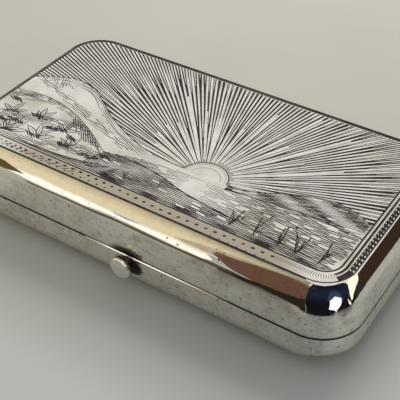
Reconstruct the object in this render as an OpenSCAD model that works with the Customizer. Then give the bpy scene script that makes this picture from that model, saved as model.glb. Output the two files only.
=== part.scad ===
// Silver snuff box with a hinged lid and a push-button spring catch.
// The origin is the middle of the flat bottom: X runs along the box, the button faces -Y, Z is up.

/* [Box] */
// Length over the walls
box_length = 94.5; // [80:0.5:130]
// Width over the walls
box_width = 50; // [40:0.5:80]
// Depth of the base, from the flat bottom to its rim
base_depth = 8.9; // [8:0.1:16]
// Height of the lid above the base's rim
lid_height = 12; // [9:0.1:18]
// Radius of the four corners, seen from above
corner_radius = 9; // [7:0.1:12]
// Radius of the rounded edge round the bottom
bottom_radius = 5.6; // [4:0.1:6]
// Radius of the lid's shoulder
shoulder_radius = 5; // [3.5:0.1:6]
// How far in from the walls the lid's flat top begins
shoulder_inset = 2.43; // [1.2:0.01:3]

/* [Sheet] */
// Thickness of the lid's silver
lid_wall = 0.8; // [0.6:0.05:1]
// Width of the seam between lid and base
seam_gap = 0.15; // [0.08:0.01:0.3]
// Width of the thumb nick in the lid's lower edge, over the button
nick_width = 8.5; // [6:0.1:12]
// Height of the thumb nick
nick_height = 0.55; // [0.3:0.05:0.8]
// How far right of the button the middle of the nick lies
nick_shift = 0.7; // [0:0.1:1.5]

/* [Bezel] */
// Thickness of the inner collar
bezel_wall = 0.5; // [0.4:0.05:0.8]
// How far the collar stands up into the lid
bezel_rise = 1.6; // [1:0.1:2.5]
// Clearance between the collar and the lid's wall
bezel_clearance = 0.12; // [0.08:0.01:0.2]

/* [Hinge] */
// How far the hinge barrel stops short of the rear corners at each end
barrel_setback = 2.25; // [0.5:0.25:15]
// Radius of the hinge tubes
knuckle_radius = 1.2; // [1:0.05:1.5]
// Radius of the hinge pin
pin_radius = 0.5; // [0.3:0.05:0.6]
// Radial clearance of the pin in the tubes
pin_clearance = 0.03; // [0.02:0.01:0.05]
// Clearance between a tube and the strip or wall it turns in
channel_clearance = 0.08; // [0.05:0.01:0.1]
// Gap between neighbouring tubes
knuckle_gap = 0.1; // [0.05:0.01:0.3]
// Thickness of the joint strips round the barrel
gallery_wall = 1.1; // [0.8:0.1:1.5]
// Length of the plug in each end of the barrel
plug_length = 0.9; // [0.5:0.1:2]
// Opening angle of the lid
lid_open = 100; // [60:1:105]

/* [Button] */
// Height of the strip that the inner collar keeps below the stem's hole
stem_sill = 0.35; // [0.3:0.05:0.7]
// Radius of the button's head
button_radius = 2.4; // [1.9:0.05:2.6]
// Thickness of the button's head
button_head = 0.8; // [0.6:0.05:1.2]
// How far the head's face is domed
button_dome = 0.25; // [0.1:0.05:0.4]
// Radius of the button's stem
stem_radius = 0.9; // [0.8:0.05:1.2]
// Radial clearance of the stem in its hole
stem_clearance = 0.05; // [0.03:0.01:0.08]
// Way that the button travels
button_travel = 1.2; // [1:0.05:1.4]
// Gap left between head and collar ring at the end of the travel
button_rest = 0.05; // [0.03:0.01:0.2]
// Outer radius of the collar ring round the stem
ring_radius = 1.4; // [1.3:0.05:1.6]
// Thickness of the collar ring
ring_thickness = 0.35; // [0.2:0.05:0.5]

/* [Catch] */
// Height of the leaf spring
spring_height = 3; // [2.4:0.1:3.2]
// Thickness of the leaf spring
spring_wall = 0.4; // [0.25:0.05:0.5]
// Distance from the button to the fixed end of the spring
spring_reach = 16; // [12:0.5:24]
// Length of the pad under the spring's fixed end
pad_length = 6; // [5:0.5:8]
// Thickness of the pad, which is also the washer's
pad_wall = 0.3; // [0.2:0.05:0.5]
// Radius of the two rivets
rivet_radius = 0.5; // [0.4:0.05:0.6]
// Height of the rivets' heads
rivet_head = 0.3; // [0.2:0.05:0.4]
// Width of the hook plate
hook_width = 3.6; // [3:0.1:5]
// Thickness of the hook plate
hook_wall = 0.5; // [0.4:0.05:0.7]
// Height of the hook's nose
nose_height = 0.9; // [0.6:0.05:1.2]
// Width of the keeper inside the lid
keeper_width = 4.4; // [3:0.1:6]
// Height of the keeper
keeper_height = 1; // [0.8:0.05:1.4]
// How far the keeper stands in from the lid's wall
keeper_depth = 0.9; // [0.7:0.05:1]
// Gap between the closed keeper and the hook's nose
catch_play = 0.1; // [0.05:0.01:0.2]

/* [Hidden] */
$fn = 96;
// Thickness of solder, where one piece is seated on another
solder = 0.02;
cut = 1;
base_wall = lid_wall + bezel_clearance;
total_height = base_depth + lid_height;
lid_foot = base_depth + seam_gap;
corner_x = box_length / 2 - corner_radius;
corner_y = box_width / 2 - corner_radius;
shoulder_side = shoulder_radius - shoulder_inset;
shoulder_z = total_height - sqrt(shoulder_radius * shoulder_radius - shoulder_side * shoulder_side);
front = -box_width / 2;
back = box_width / 2;

axis_y = back - lid_wall;
axis_z = base_depth + seam_gap / 2;
channel_radius = knuckle_radius + channel_clearance;
gallery_radius = channel_radius + gallery_wall;
bore_radius = pin_radius + pin_clearance;
barrel_length = 2 * (corner_x - barrel_setback);
knuckle_length = (barrel_length - 4 * knuckle_gap) / 5;
// Each rim is bevelled by half of the opening angle, and a little more
bevel = lid_open / 2 + 3;
bevel_start = axis_y - seam_gap / 2 / tan(bevel);

bezel_out = base_wall + solder;
bezel_in = bezel_out + bezel_wall;
bezel_foot = bottom_radius;
bezel_top = base_depth + bezel_rise;
bezel_face = front + bezel_in;

stem_hole = stem_radius + stem_clearance;
button_z = bezel_foot + stem_sill + stem_hole;
ring_face = front - ring_thickness;
head_back = ring_face - button_rest - button_travel;
head_face = head_back - button_head;
tail_radius = stem_radius * 0.6;
washer_front = bezel_face + solder;
leaf_front = washer_front + pad_wall;
plate_front = leaf_front + spring_wall;
plate_back = plate_front + hook_wall;
tail_head = 0.3;
washer_radius = stem_radius + 0.5;
tip_margin = 1;
bezel_end = 0.5;

window_width = max(keeper_width, hook_width) + 2;
keeper_foot = lid_foot + nick_height + 0.3;
keeper_top = keeper_foot + keeper_height;
keeper_face = front + lid_wall + keeper_depth;
nose_foot = keeper_top + catch_play;
nose_top = nose_foot + nose_height;
nose_tip = keeper_face - keeper_depth * 0.6;

// Carries a half profile round the box: x is measured out from the corners' centres, y is the height
module around_box() {
    stops = [
        [corner_x, corner_y, 0, 2 * corner_y], [-corner_x, corner_y, 90, 2 * corner_x],
        [-corner_x, -corner_y, 180, 2 * corner_y], [corner_x, -corner_y, 270, 2 * corner_x]
    ];
    for (stop = stops) {
        translate([stop[0], stop[1], 0]) rotate([0, 0, stop[2]]) {
            rotate_extrude(angle = 90) children();
            rotate([90, 0, 0]) linear_extrude(stop[3]) children();
        }
    }
}

// A solid that runs along X, drawn as its outline in Y and Z
module along_box(length, middle = 0) {
    translate([middle - length / 2, 0, 0]) rotate([90, 0, 90]) linear_extrude(length) children();
}

// Half of the lid's section at the given depth inside its outer face, without its foot
module lid_section(depth) {
    reach = corner_radius - depth;
    top = total_height - depth;
    arc_x = corner_radius - shoulder_radius;
    square([reach, shoulder_z]);
    square([arc_x, top]);
    intersection() {
        translate([arc_x, shoulder_z]) circle(shoulder_radius - depth);
        square([reach, top]);
    }
}

// Half of the base's section at the given depth inside its outer face
module base_section(depth) {
    arc_x = corner_radius - bottom_radius;
    translate([0, depth]) square([arc_x, base_depth - depth]);
    translate([0, bottom_radius]) square([corner_radius - depth, base_depth - bottom_radius]);
    intersection() {
        translate([arc_x, bottom_radius]) circle(bottom_radius - depth);
        square([corner_radius, bottom_radius]);
    }
}

// What is cut out of both back walls: the barrel's channel, and the bevel that lets the lid lean back
module hinge_room() {
    rise = (cut + back - bevel_start) * tan(bevel);
    along_box(box_length) polygon([
        [bevel_start, axis_z], [back + cut, axis_z + rise], [back + cut, axis_z - rise]
    ]);
    along_box(barrel_length + 2 * knuckle_gap) translate([axis_y, axis_z]) circle(channel_radius);
}

// One joint strip: a quarter tube round the barrel, above the seam or below it
module gallery(side, seat_y) {
    along_box(barrel_length) intersection() {
        difference() {
            translate([axis_y, axis_z]) circle(gallery_radius);
            translate([axis_y, axis_z]) circle(channel_radius);
        }
        translate([seat_y - gallery_radius, side > 0 ? lid_foot : base_depth - gallery_radius])
            square([gallery_radius, gallery_radius]);
    }
}

// One hinge tube; the five places are counted from the left
module knuckle(place) {
    middle = (place - 3) * (knuckle_length + knuckle_gap);
    along_box(knuckle_length, middle) translate([axis_y, axis_z]) difference() {
        circle(knuckle_radius);
        circle(bore_radius);
    }
}

// A plug in the left (-1) or right (1) end of the barrel
module pin_plug(side) {
    along_box(plug_length, side * (barrel_length - plug_length) / 2)
        translate([axis_y, axis_z]) circle(bore_radius - solder);
}

// A round bar or hole that runs in from the front, between two places along Y
module through_front(radius, from_y, to_y, x = 0) {
    translate([x, from_y, button_z]) rotate([-90, 0, 0]) cylinder(h = to_y - from_y, r = radius);
}

// The places of the spring's two rivets along X
function rivet_places() = [for (share = [0.25, 0.75]) share * pad_length - spring_reach];

module lid_shell() {
    nick_radius = (nick_width * nick_width / 4 + nick_height * nick_height) / (2 * nick_height);
    color([0.80, 0.79, 0.75]) difference() {
        union() {
            around_box() difference() {
                lid_section(0);
                lid_section(lid_wall);
                square([box_width, lid_foot]);
            }
            translate([-corner_x, -corner_y, total_height - lid_wall])
                cube([2 * corner_x, 2 * corner_y, lid_wall]);
        }
        hinge_room();
        translate([nick_shift, front - cut, lid_foot + nick_height - nick_radius])
            rotate([-90, 0, 0]) cylinder(h = cut + lid_wall + bezel_clearance, r = nick_radius);
    }
}

module lid_hinge_gallery() {
    color([0.78, 0.74, 0.62]) gallery(1, axis_y - solder);
}

module lid_knuckle_left() {
    color([0.76, 0.75, 0.72]) knuckle(2);
}

module lid_knuckle_right() {
    color([0.76, 0.75, 0.72]) knuckle(4);
}

module catch_keeper() {
    seat = front + lid_wall;
    color([0.78, 0.74, 0.62]) along_box(keeper_width) polygon([
        [seat, keeper_foot], [keeper_face, keeper_foot + keeper_height * 0.4],
        [keeper_face, keeper_top], [seat, keeper_top]
    ]);
}

module base_shell() {
    color([0.77, 0.76, 0.72]) difference() {
        union() {
            around_box() difference() {
                base_section(0);
                base_section(base_wall);
            }
            translate([-corner_x, -corner_y, 0]) cube([2 * corner_x, 2 * corner_y, base_wall]);
        }
        hinge_room();
        through_front(stem_hole, front - cut, front + base_wall + cut);
    }
}

module base_bezel() {
    back_gap = barrel_length + 2 * bezel_end;
    color([0.82, 0.76, 0.58]) difference() {
        around_box() {
            translate([corner_radius - bezel_in, bezel_foot])
                square([bezel_wall, bezel_top - bezel_wall / 2 - bezel_foot]);
            translate([corner_radius - bezel_in + bezel_wall / 2, bezel_top - bezel_wall / 2])
                circle(bezel_wall / 2);
        }
        translate([-back_gap / 2, 0, bezel_foot - cut])
            cube([back_gap, box_width, bezel_top - bezel_foot + 2 * cut]);
        translate([-window_width / 2, front, base_depth])
            cube([window_width, corner_radius, bezel_rise + cut]);
        through_front(stem_hole, front, bezel_face + cut);
        for (x = rivet_places()) through_front(rivet_radius + solder, front, bezel_face + cut, x);
    }
}

module base_hinge_gallery() {
    color([0.78, 0.74, 0.62]) gallery(-1, back - base_wall - solder);
}

module base_knuckle_left() {
    color([0.74, 0.73, 0.70]) knuckle(1);
}

module base_knuckle_centre() {
    color([0.74, 0.73, 0.70]) knuckle(3);
}

module base_knuckle_right() {
    color([0.74, 0.73, 0.70]) knuckle(5);
}

module hinge_pin() {
    color([0.62, 0.62, 0.62]) along_box(barrel_length - 2 * (plug_length + knuckle_gap))
        translate([axis_y, axis_z]) circle(pin_radius);
}

module pin_plug_left() {
    color([0.80, 0.79, 0.75]) pin_plug(-1);
}

module pin_plug_right() {
    color([0.80, 0.79, 0.75]) pin_plug(1);
}

module button_collar() {
    color([0.70, 0.69, 0.66]) difference() {
        through_front(ring_radius, ring_face, front);
        through_front(stem_hole, ring_face - cut, front + cut);
    }
}

module push_button() {
    dome_radius = (button_radius * button_radius + button_dome * button_dome) / (2 * button_dome);
    color([0.80, 0.79, 0.76]) {
        intersection() {
            through_front(button_radius, head_face - cut, head_back);
            translate([0, head_face + dome_radius, button_z]) sphere(dome_radius);
        }
        through_front(stem_radius, head_back, washer_front);
        through_front(tail_radius, washer_front, plate_back);
        through_front(stem_radius, plate_back, plate_back + tail_head);
    }
}

module stem_washer() {
    color([0.72, 0.66, 0.48]) difference() {
        through_front(washer_radius, washer_front, leaf_front);
        through_front(tail_radius + solder, washer_front - cut, leaf_front + cut);
    }
}

module catch_hook() {
    foot = button_z - spring_height / 2 + 0.2;
    color([0.78, 0.74, 0.62]) difference() {
        along_box(hook_width) polygon([
            [plate_front, foot], [plate_back, foot], [plate_back, nose_top],
            [plate_front, nose_top], [nose_tip, nose_foot + nose_height / 3],
            [nose_tip, nose_foot], [plate_front, nose_foot]
        ]);
        through_front(tail_radius + solder, leaf_front, plate_back + cut);
    }
}

module catch_spring() {
    tip = washer_radius + tip_margin;
    color([0.72, 0.68, 0.55]) difference() {
        union() {
            translate([-spring_reach, leaf_front, button_z - spring_height / 2])
                cube([spring_reach + tip - spring_height / 2, spring_wall, spring_height]);
            through_front(spring_height / 2, leaf_front, plate_front, tip - spring_height / 2);
        }
        through_front(tail_radius + solder, leaf_front - cut, plate_front + cut);
        for (x = rivet_places()) through_front(rivet_radius + solder, leaf_front - cut, plate_front + cut, x);
    }
}

module catch_spring_pad() {
    color([0.74, 0.70, 0.58]) difference() {
        translate([-spring_reach, bezel_face, button_z - spring_height / 2])
            cube([pad_length, leaf_front - bezel_face, spring_height]);
        for (x = rivet_places()) through_front(rivet_radius + solder, bezel_face - cut, leaf_front + cut, x);
    }
}

module spring_rivets() {
    color([0.66, 0.66, 0.64]) for (x = rivet_places()) {
        through_front(rivet_radius, front + bezel_out, plate_front, x);
        through_front(rivet_radius * 1.8, plate_front, plate_front + rivet_head, x);
    }
}

lid_shell();
lid_hinge_gallery();
lid_knuckle_left();
lid_knuckle_right();
catch_keeper();
base_shell();
base_bezel();
base_hinge_gallery();
base_knuckle_left();
base_knuckle_centre();
base_knuckle_right();
hinge_pin();
pin_plug_left();
pin_plug_right();
button_collar();
push_button();
stem_washer();
catch_hook();
catch_spring();
catch_spring_pad();
spring_rivets();
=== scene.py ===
"""Silver snuff box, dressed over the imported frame: smooth shells, engraving, hinge, catch and studio."""
import logging
import math
import random
from abc import ABC, abstractmethod
from dataclasses import dataclass, field
from enum import Enum
from typing import Any, Callable, Iterable, Sequence

import bmesh
import bpy
from mathutils import Matrix, Vector


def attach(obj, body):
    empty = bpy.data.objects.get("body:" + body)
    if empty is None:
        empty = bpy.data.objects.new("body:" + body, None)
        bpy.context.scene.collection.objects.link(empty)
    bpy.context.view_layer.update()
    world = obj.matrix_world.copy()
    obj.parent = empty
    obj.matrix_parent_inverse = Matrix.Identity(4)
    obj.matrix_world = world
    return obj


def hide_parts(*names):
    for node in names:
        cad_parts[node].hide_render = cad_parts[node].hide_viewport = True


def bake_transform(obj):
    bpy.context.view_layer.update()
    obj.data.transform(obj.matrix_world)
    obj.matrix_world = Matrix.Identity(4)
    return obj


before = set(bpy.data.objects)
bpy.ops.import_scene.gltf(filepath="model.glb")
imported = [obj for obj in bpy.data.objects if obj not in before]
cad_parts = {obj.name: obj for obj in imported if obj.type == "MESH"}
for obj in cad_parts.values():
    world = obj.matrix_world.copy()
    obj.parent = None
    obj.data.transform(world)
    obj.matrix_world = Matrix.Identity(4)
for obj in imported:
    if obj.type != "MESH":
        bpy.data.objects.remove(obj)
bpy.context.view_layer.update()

MM = 0.001
Point = tuple[float, float]
Point3 = tuple[float, float, float]
CardPath = tuple[tuple[float, float, float, float], ...]
LOG = logging.getLogger("snuff_box")


class Body(str, Enum):
    """The bodies of the frame."""

    BASE = "base"
    LID = "lid"
    BUTTON = "button"


class Slot(str, Enum):
    """The record's material slots."""

    LID = "lid_silver"
    BASE = "base_silver"
    FITTING = "fitting_silver"
    BUTTON = "button_silver"
    GILT = "silver_gilt"
    BRASS = "spring_brass"
    PIN = "pin_metal"


# Nodes

def add_node(tree: bpy.types.NodeTree, kind: str, inputs: dict | None = None, **settings: Any) -> bpy.types.Node:
    """Adds one node with its settings and links.

    Args:
        tree: The node tree that gets the node.
        kind: The node's type.
        inputs: A value, a node's first output or an output for each input, by name or place.
        settings: The node's own properties.

    Returns:
        The new node.
    """
    node = tree.nodes.new(kind)
    for name, value in settings.items():
        setattr(node, name, value)
    for key, value in (inputs or {}).items():
        source = value.outputs[0] if isinstance(value, bpy.types.Node) else value
        if isinstance(source, bpy.types.NodeSocket):
            tree.links.new(source, node.inputs[key])
        else:
            node.inputs[key].default_value = source
    return node


def linear(colour: str) -> tuple[float, float, float, float]:
    """Turns an sRGB hex colour to linear RGBA.

    Args:
        colour: The colour, such as "#a0b0c0".

    Returns:
        Its linear red, green and blue, with alpha 1.
    """
    parts = [int(colour[i:i + 2], 16) / 255 for i in (1, 3, 5)]
    red, green, blue = [c / 12.92 if c <= 0.04045 else ((c + 0.055) / 1.055) ** 2.4 for c in parts]
    return red, green, blue, 1.0


# Finishes

SMOOTH = {"interpolation_type": "SMOOTHSTEP"}


@dataclass(frozen=True)
class Finish(ABC):
    """A surface finish that makes its own material, once."""

    name: str

    def material(self) -> bpy.types.Material:
        """Finds or makes the material.

        Returns:
            The material of this finish.
        """
        found = bpy.data.materials.get(self.name)
        if found:
            return found
        made = bpy.data.materials.new(self.name)
        made.use_nodes = True
        tree = made.node_tree
        tree.nodes.clear()
        add_node(tree, "ShaderNodeOutputMaterial", {"Surface": self.shade(tree)})
        return made

    @abstractmethod
    def shade(self, tree: bpy.types.NodeTree) -> bpy.types.Node:
        """Adds the finish's nodes and returns the shader node."""

    @staticmethod
    def millimetres(tree: bpy.types.NodeTree, stretch: Point3 = (1, 1, 1), turn: float = 0) -> bpy.types.Node:
        """Object coordinates in millimetres.

        Args:
            tree: The material's tree.
            stretch: How much finer the pattern is along each axis.
            turn: How far the pattern is turned about Z, in degrees.

        Returns:
            The node that gives the place.
        """
        place = add_node(tree, "ShaderNodeTexCoord")
        return add_node(tree, "ShaderNodeMapping", {
            "Vector": place.outputs["Object"], "Rotation": (0, 0, math.radians(turn)),
            "Scale": tuple(s / MM for s in stretch)})

    @staticmethod
    def scratches(tree: bpy.types.NodeTree, turn: float, apart: float, upright: bool = False) -> bpy.types.Node:
        """Long thin scratches in one direction.

        Args:
            tree: The material's tree.
            turn: Their direction about Z, in degrees.
            apart: Their distance in millimetres.
            upright: Whether they run up and down.

        Returns:
            The node whose value is 1 in a scratch.
        """
        fine = 1 / apart
        stretch = (fine, fine, 0.12 * fine) if upright else (0.06 * fine, fine, fine)
        noise = add_node(tree, "ShaderNodeTexNoise", {
            "Vector": Finish.millimetres(tree, stretch, turn), "Scale": 1.0, "Detail": 3.0, "Roughness": 0.6})
        return add_node(tree, "ShaderNodeMapRange", {0: noise, 1: 0.60, 2: 0.68}, **SMOOTH)


@dataclass(frozen=True)
class DirtAndShadeOval:
    """A dark oval on the front wall, in millimetres, that paints old polish and shade: on the lid, dirt with painted
    shade in the thumb nick; on the base, the button head's painted shadow and dark reflection.
    """

    middle: Point
    reach: Point
    core: float = 0.7
    strength: float = 0.9

    def spread(self, tree: bpy.types.NodeTree, place: bpy.types.Node, ragged: bpy.types.Node) -> bpy.types.Node:
        """Adds the dark oval's nodes.

        Args:
            tree: The material's tree.
            place: The separated place in millimetres.
            ragged: A noise that frays the outline.

        Returns:
            The node whose value is 1 in the dark oval.
        """
        across = add_node(tree, "ShaderNodeMath", {0: place.outputs["X"], 1: self.middle[0]}, operation="SUBTRACT")
        up = add_node(tree, "ShaderNodeMath", {0: place.outputs["Z"], 1: self.middle[1]}, operation="SUBTRACT")
        flat = add_node(tree, "ShaderNodeCombineXYZ", {"X": across, "Y": up})
        share = add_node(tree, "ShaderNodeVectorMath", {0: flat, 1: (*self.reach, 1.0)}, operation="DIVIDE")
        far = add_node(tree, "ShaderNodeVectorMath", {0: share}, operation="LENGTH")
        frayed = add_node(tree, "ShaderNodeMapRange", {0: ragged, 1: 0.3, 2: 0.7, 3: -0.16, 4: 0.16})
        far = add_node(tree, "ShaderNodeMath", {0: far.outputs["Value"], 1: frayed}, operation="ADD")
        dark = add_node(tree, "ShaderNodeMapRange", {0: far, 1: self.core, 2: 1.0, 3: self.strength, 4: 0.0}, **SMOOTH)
        ahead = add_node(tree, "ShaderNodeMath", {0: place.outputs["Y"], 1: -23.0}, operation="LESS_THAN")
        return add_node(tree, "ShaderNodeMath", {0: dark, 1: ahead}, operation="MULTIPLY")


@dataclass(frozen=True)
class SterlingSilver(Finish):
    """Sterling silver raised by hammer, polished, and worn by a century of pockets.

    The shoulder still mirrors like glass. The walls, which hands and cloths rub, are satin, with faint pink and
    olive clouds of tarnish, dirt-filled pits and short upright scratches.
    """

    stain: DirtAndShadeOval
    silver: str = "#f1eee7"
    tarnish: str = "#c9c3b6"
    pink: str = "#c9b6ab"
    olive: str = "#b3b199"
    grime_and_shade: str = "#1d1814"
    bloom: str = "#5f584a"
    polish: float = 0.045
    satin: float = 0.18
    bright_above: float = 16.2
    dirty_rim: float = 0.0

    def pits(self, tree: bpy.types.NodeTree, per_mm: float, radius: float, share: float,
             ragged: bpy.types.Node) -> bpy.types.Node:
        """Dirt-filled pits.

        Args:
            tree: The material's tree.
            per_mm: How many pits could sit on a millimetre.
            radius: A pit's radius in millimetres.
            share: The share of them that holds dirt.
            ragged: A noise that frays their outlines.

        Returns:
            The node whose value is 1 in a pit.
        """
        cells = add_node(tree, "ShaderNodeTexVoronoi", {"Vector": self.millimetres(tree), "Scale": per_mm})
        far = add_node(tree, "ShaderNodeMath", {0: cells, 1: 1 / per_mm}, operation="MULTIPLY")
        edge = add_node(tree, "ShaderNodeMapRange", {0: ragged, 1: 0.3, 2: 0.7, 3: -0.6 * radius, 4: 0.6 * radius})
        far = add_node(tree, "ShaderNodeMath", {0: far, 1: edge}, operation="ADD")
        near = add_node(tree, "ShaderNodeMapRange", {0: far, 1: 0.4 * radius, 2: 1.2 * radius, 3: 1.0, 4: 0.0}, **SMOOTH)
        chosen = add_node(tree, "ShaderNodeMapRange", {0: cells.outputs["Color"], 1: 0.98 - share, 2: 1 - share})
        return add_node(tree, "ShaderNodeMath", {0: near, 1: chosen}, operation="MULTIPLY")

    def shade(self, tree: bpy.types.NodeTree) -> bpy.types.Node:
        """Adds the nodes of worn silver.

        Args:
            tree: The material's tree.

        Returns:
            The shader node.
        """
        vector = self.millimetres(tree)
        place = add_node(tree, "ShaderNodeSeparateXYZ", {"Vector": vector})
        height = place.outputs["Z"]
        clouds = add_node(tree, "ShaderNodeTexNoise", {"Vector": vector, "Scale": 0.1, "Detail": 5.0, "Roughness": 0.6})
        patches = add_node(tree, "ShaderNodeTexNoise", {"Vector": vector, "Scale": 0.3, "Detail": 5.0, "Roughness": 0.6})
        hues = add_node(tree, "ShaderNodeTexNoise", {
            "Vector": self.millimetres(tree, (1, 1, 1.6), 50), "Scale": 0.22, "Detail": 3.0, "Roughness": 0.5})
        ragged = add_node(tree, "ShaderNodeTexNoise", {"Vector": vector, "Scale": 4.5, "Detail": 3.0, "Roughness": 0.6})
        # The polished shoulder starts in an uneven line above the straight wall
        wavy = add_node(tree, "ShaderNodeMapRange", {0: clouds, 1: 0.3, 2: 0.7, 3: -0.5, 4: 0.5})
        wavy = add_node(tree, "ShaderNodeMath", {0: height, 1: wavy}, operation="ADD")
        # It reaches lower at the near corner, which thumbs keep bright, and less low on the right side
        for low, high, drop in ((34, 40, 1.7), (42.5, 46.5, -2.6)):
            reach = add_node(tree, "ShaderNodeMapRange", {0: place.outputs["X"], 1: low, 2: high, 4: drop}, **SMOOTH)
            wavy = add_node(tree, "ShaderNodeMath", {0: wavy, 1: reach}, operation="ADD")
        shoulder = add_node(tree, "ShaderNodeMapRange", {
            0: wavy, 1: self.bright_above - 0.7, 2: self.bright_above + 0.7}, **SMOOTH)
        rubbed = add_node(tree, "ShaderNodeMapRange", {0: shoulder, 3: 1.0, 4: 0.3})
        pits = add_node(tree, "ShaderNodeMath", {
            0: self.pits(tree, 0.45, 0.28, 0.26, ragged), 1: self.pits(tree, 0.85, 0.15, 0.22, ragged)}, operation="MAXIMUM")
        dirt = add_node(tree, "ShaderNodeMath", {0: pits, 1: 0.9}, operation="MULTIPLY")
        # The dark oval adds painted shade: in the thumb nick on the lid, and the button's shadow and dark reflection on
        # the base
        dirt = add_node(tree, "ShaderNodeMath", {0: dirt, 1: self.stain.spread(tree, place, ragged)}, operation="MAXIMUM")
        # A dark band at the wall's foot: old polish, and painted shade along the seam
        if self.dirty_rim:
            edge = add_node(tree, "ShaderNodeMapRange", {0: ragged, 1: 0.3, 2: 0.7, 3: -0.05, 4: 0.09})
            edge = add_node(tree, "ShaderNodeMath", {0: height, 1: edge}, operation="SUBTRACT")
            rim = add_node(tree, "ShaderNodeMapRange", {0: edge, 1: self.dirty_rim, 2: self.dirty_rim + 0.1, 3: 0.9, 4: 0.0})
            dirt = add_node(tree, "ShaderNodeMath", {0: dirt, 1: rim}, operation="MAXIMUM")
        marks = add_node(tree, "ShaderNodeMath", {
            0: self.scratches(tree, 24, 0.35), 1: self.scratches(tree, -38, 0.6)}, operation="MAXIMUM")
        scored = add_node(tree, "ShaderNodeMath", {0: self.scratches(tree, 0, 0.4, True), 1: 0.35}, operation="MULTIPLY")
        tone = add_node(tree, "ShaderNodeMapRange", {0: patches, 1: 0.38, 2: 0.8, 4: 0.6}, **SMOOTH)
        tone = add_node(tree, "ShaderNodeMath", {0: tone, 1: scored}, operation="MAXIMUM")
        tone = add_node(tree, "ShaderNodeMath", {0: tone, 1: rubbed}, operation="MULTIPLY")
        colour = add_node(tree, "ShaderNodeMix", {0: tone, 6: linear(self.silver), 7: linear(self.tarnish)}, data_type="RGBA")
        for shade, low, high in ((self.pink, 0.5, 0.7), (self.olive, 0.5, 0.3)):
            share = add_node(tree, "ShaderNodeMapRange", {0: hues, 1: low, 2: high, 4: 0.28}, **SMOOTH)
            share = add_node(tree, "ShaderNodeMath", {0: share, 1: rubbed}, operation="MULTIPLY")
            colour = add_node(tree, "ShaderNodeMix", {0: share, 6: colour.outputs[2], 7: linear(shade)}, data_type="RGBA")
        # Fine dark flecks of tarnish stay where cloths rub least
        flecks = add_node(tree, "ShaderNodeTexNoise", {"Vector": vector, "Scale": 1.0, "Detail": 5.0, "Roughness": 0.75})
        flecks = add_node(tree, "ShaderNodeMapRange", {0: flecks, 1: 0.53, 2: 0.7, 4: 0.85}, **SMOOTH)
        flecks = add_node(tree, "ShaderNodeMath", {0: flecks, 1: rubbed}, operation="MULTIPLY")
        colour = add_node(tree, "ShaderNodeMix", {0: flecks, 6: colour.outputs[2], 7: linear(self.bloom)}, data_type="RGBA")
        # Pits, the dark oval and the foot band take the dark colour: dirt, and painted shade
        colour = add_node(tree, "ShaderNodeMix", {0: dirt, 6: colour.outputs[2], 7: linear(self.grime_and_shade)}, data_type="RGBA")
        rough = add_node(tree, "ShaderNodeMapRange", {0: patches, 1: 0.3, 2: 0.7, 3: self.satin - 0.03, 4: self.satin + 0.06})
        rough = add_node(tree, "ShaderNodeMix", {0: shoulder, 2: rough, 3: self.polish}, data_type="FLOAT")
        for value, share in ((marks, 0.16), (dirt, 0.6)):
            value = add_node(tree, "ShaderNodeMath", {0: value, 1: share}, operation="MULTIPLY")
            rough = add_node(tree, "ShaderNodeMath", {0: rough, 1: value}, operation="MAXIMUM")
        relief = add_node(tree, "ShaderNodeMath", {0: ragged, 1: -0.06}, operation="MULTIPLY")
        relief = add_node(tree, "ShaderNodeMath", {0: clouds, 1: relief}, operation="ADD")
        relief = add_node(tree, "ShaderNodeMath", {0: pits, 1: -0.3, 2: relief}, operation="MULTIPLY_ADD")
        dents = add_node(tree, "ShaderNodeBump", {"Height": relief, "Strength": 0.28, "Distance": 0.06 * MM})
        return add_node(tree, "ShaderNodeBsdfPrincipled", {
            "Base Color": colour.outputs[2], "Metallic": 1.0, "Roughness": rough, "Normal": dents})


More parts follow.
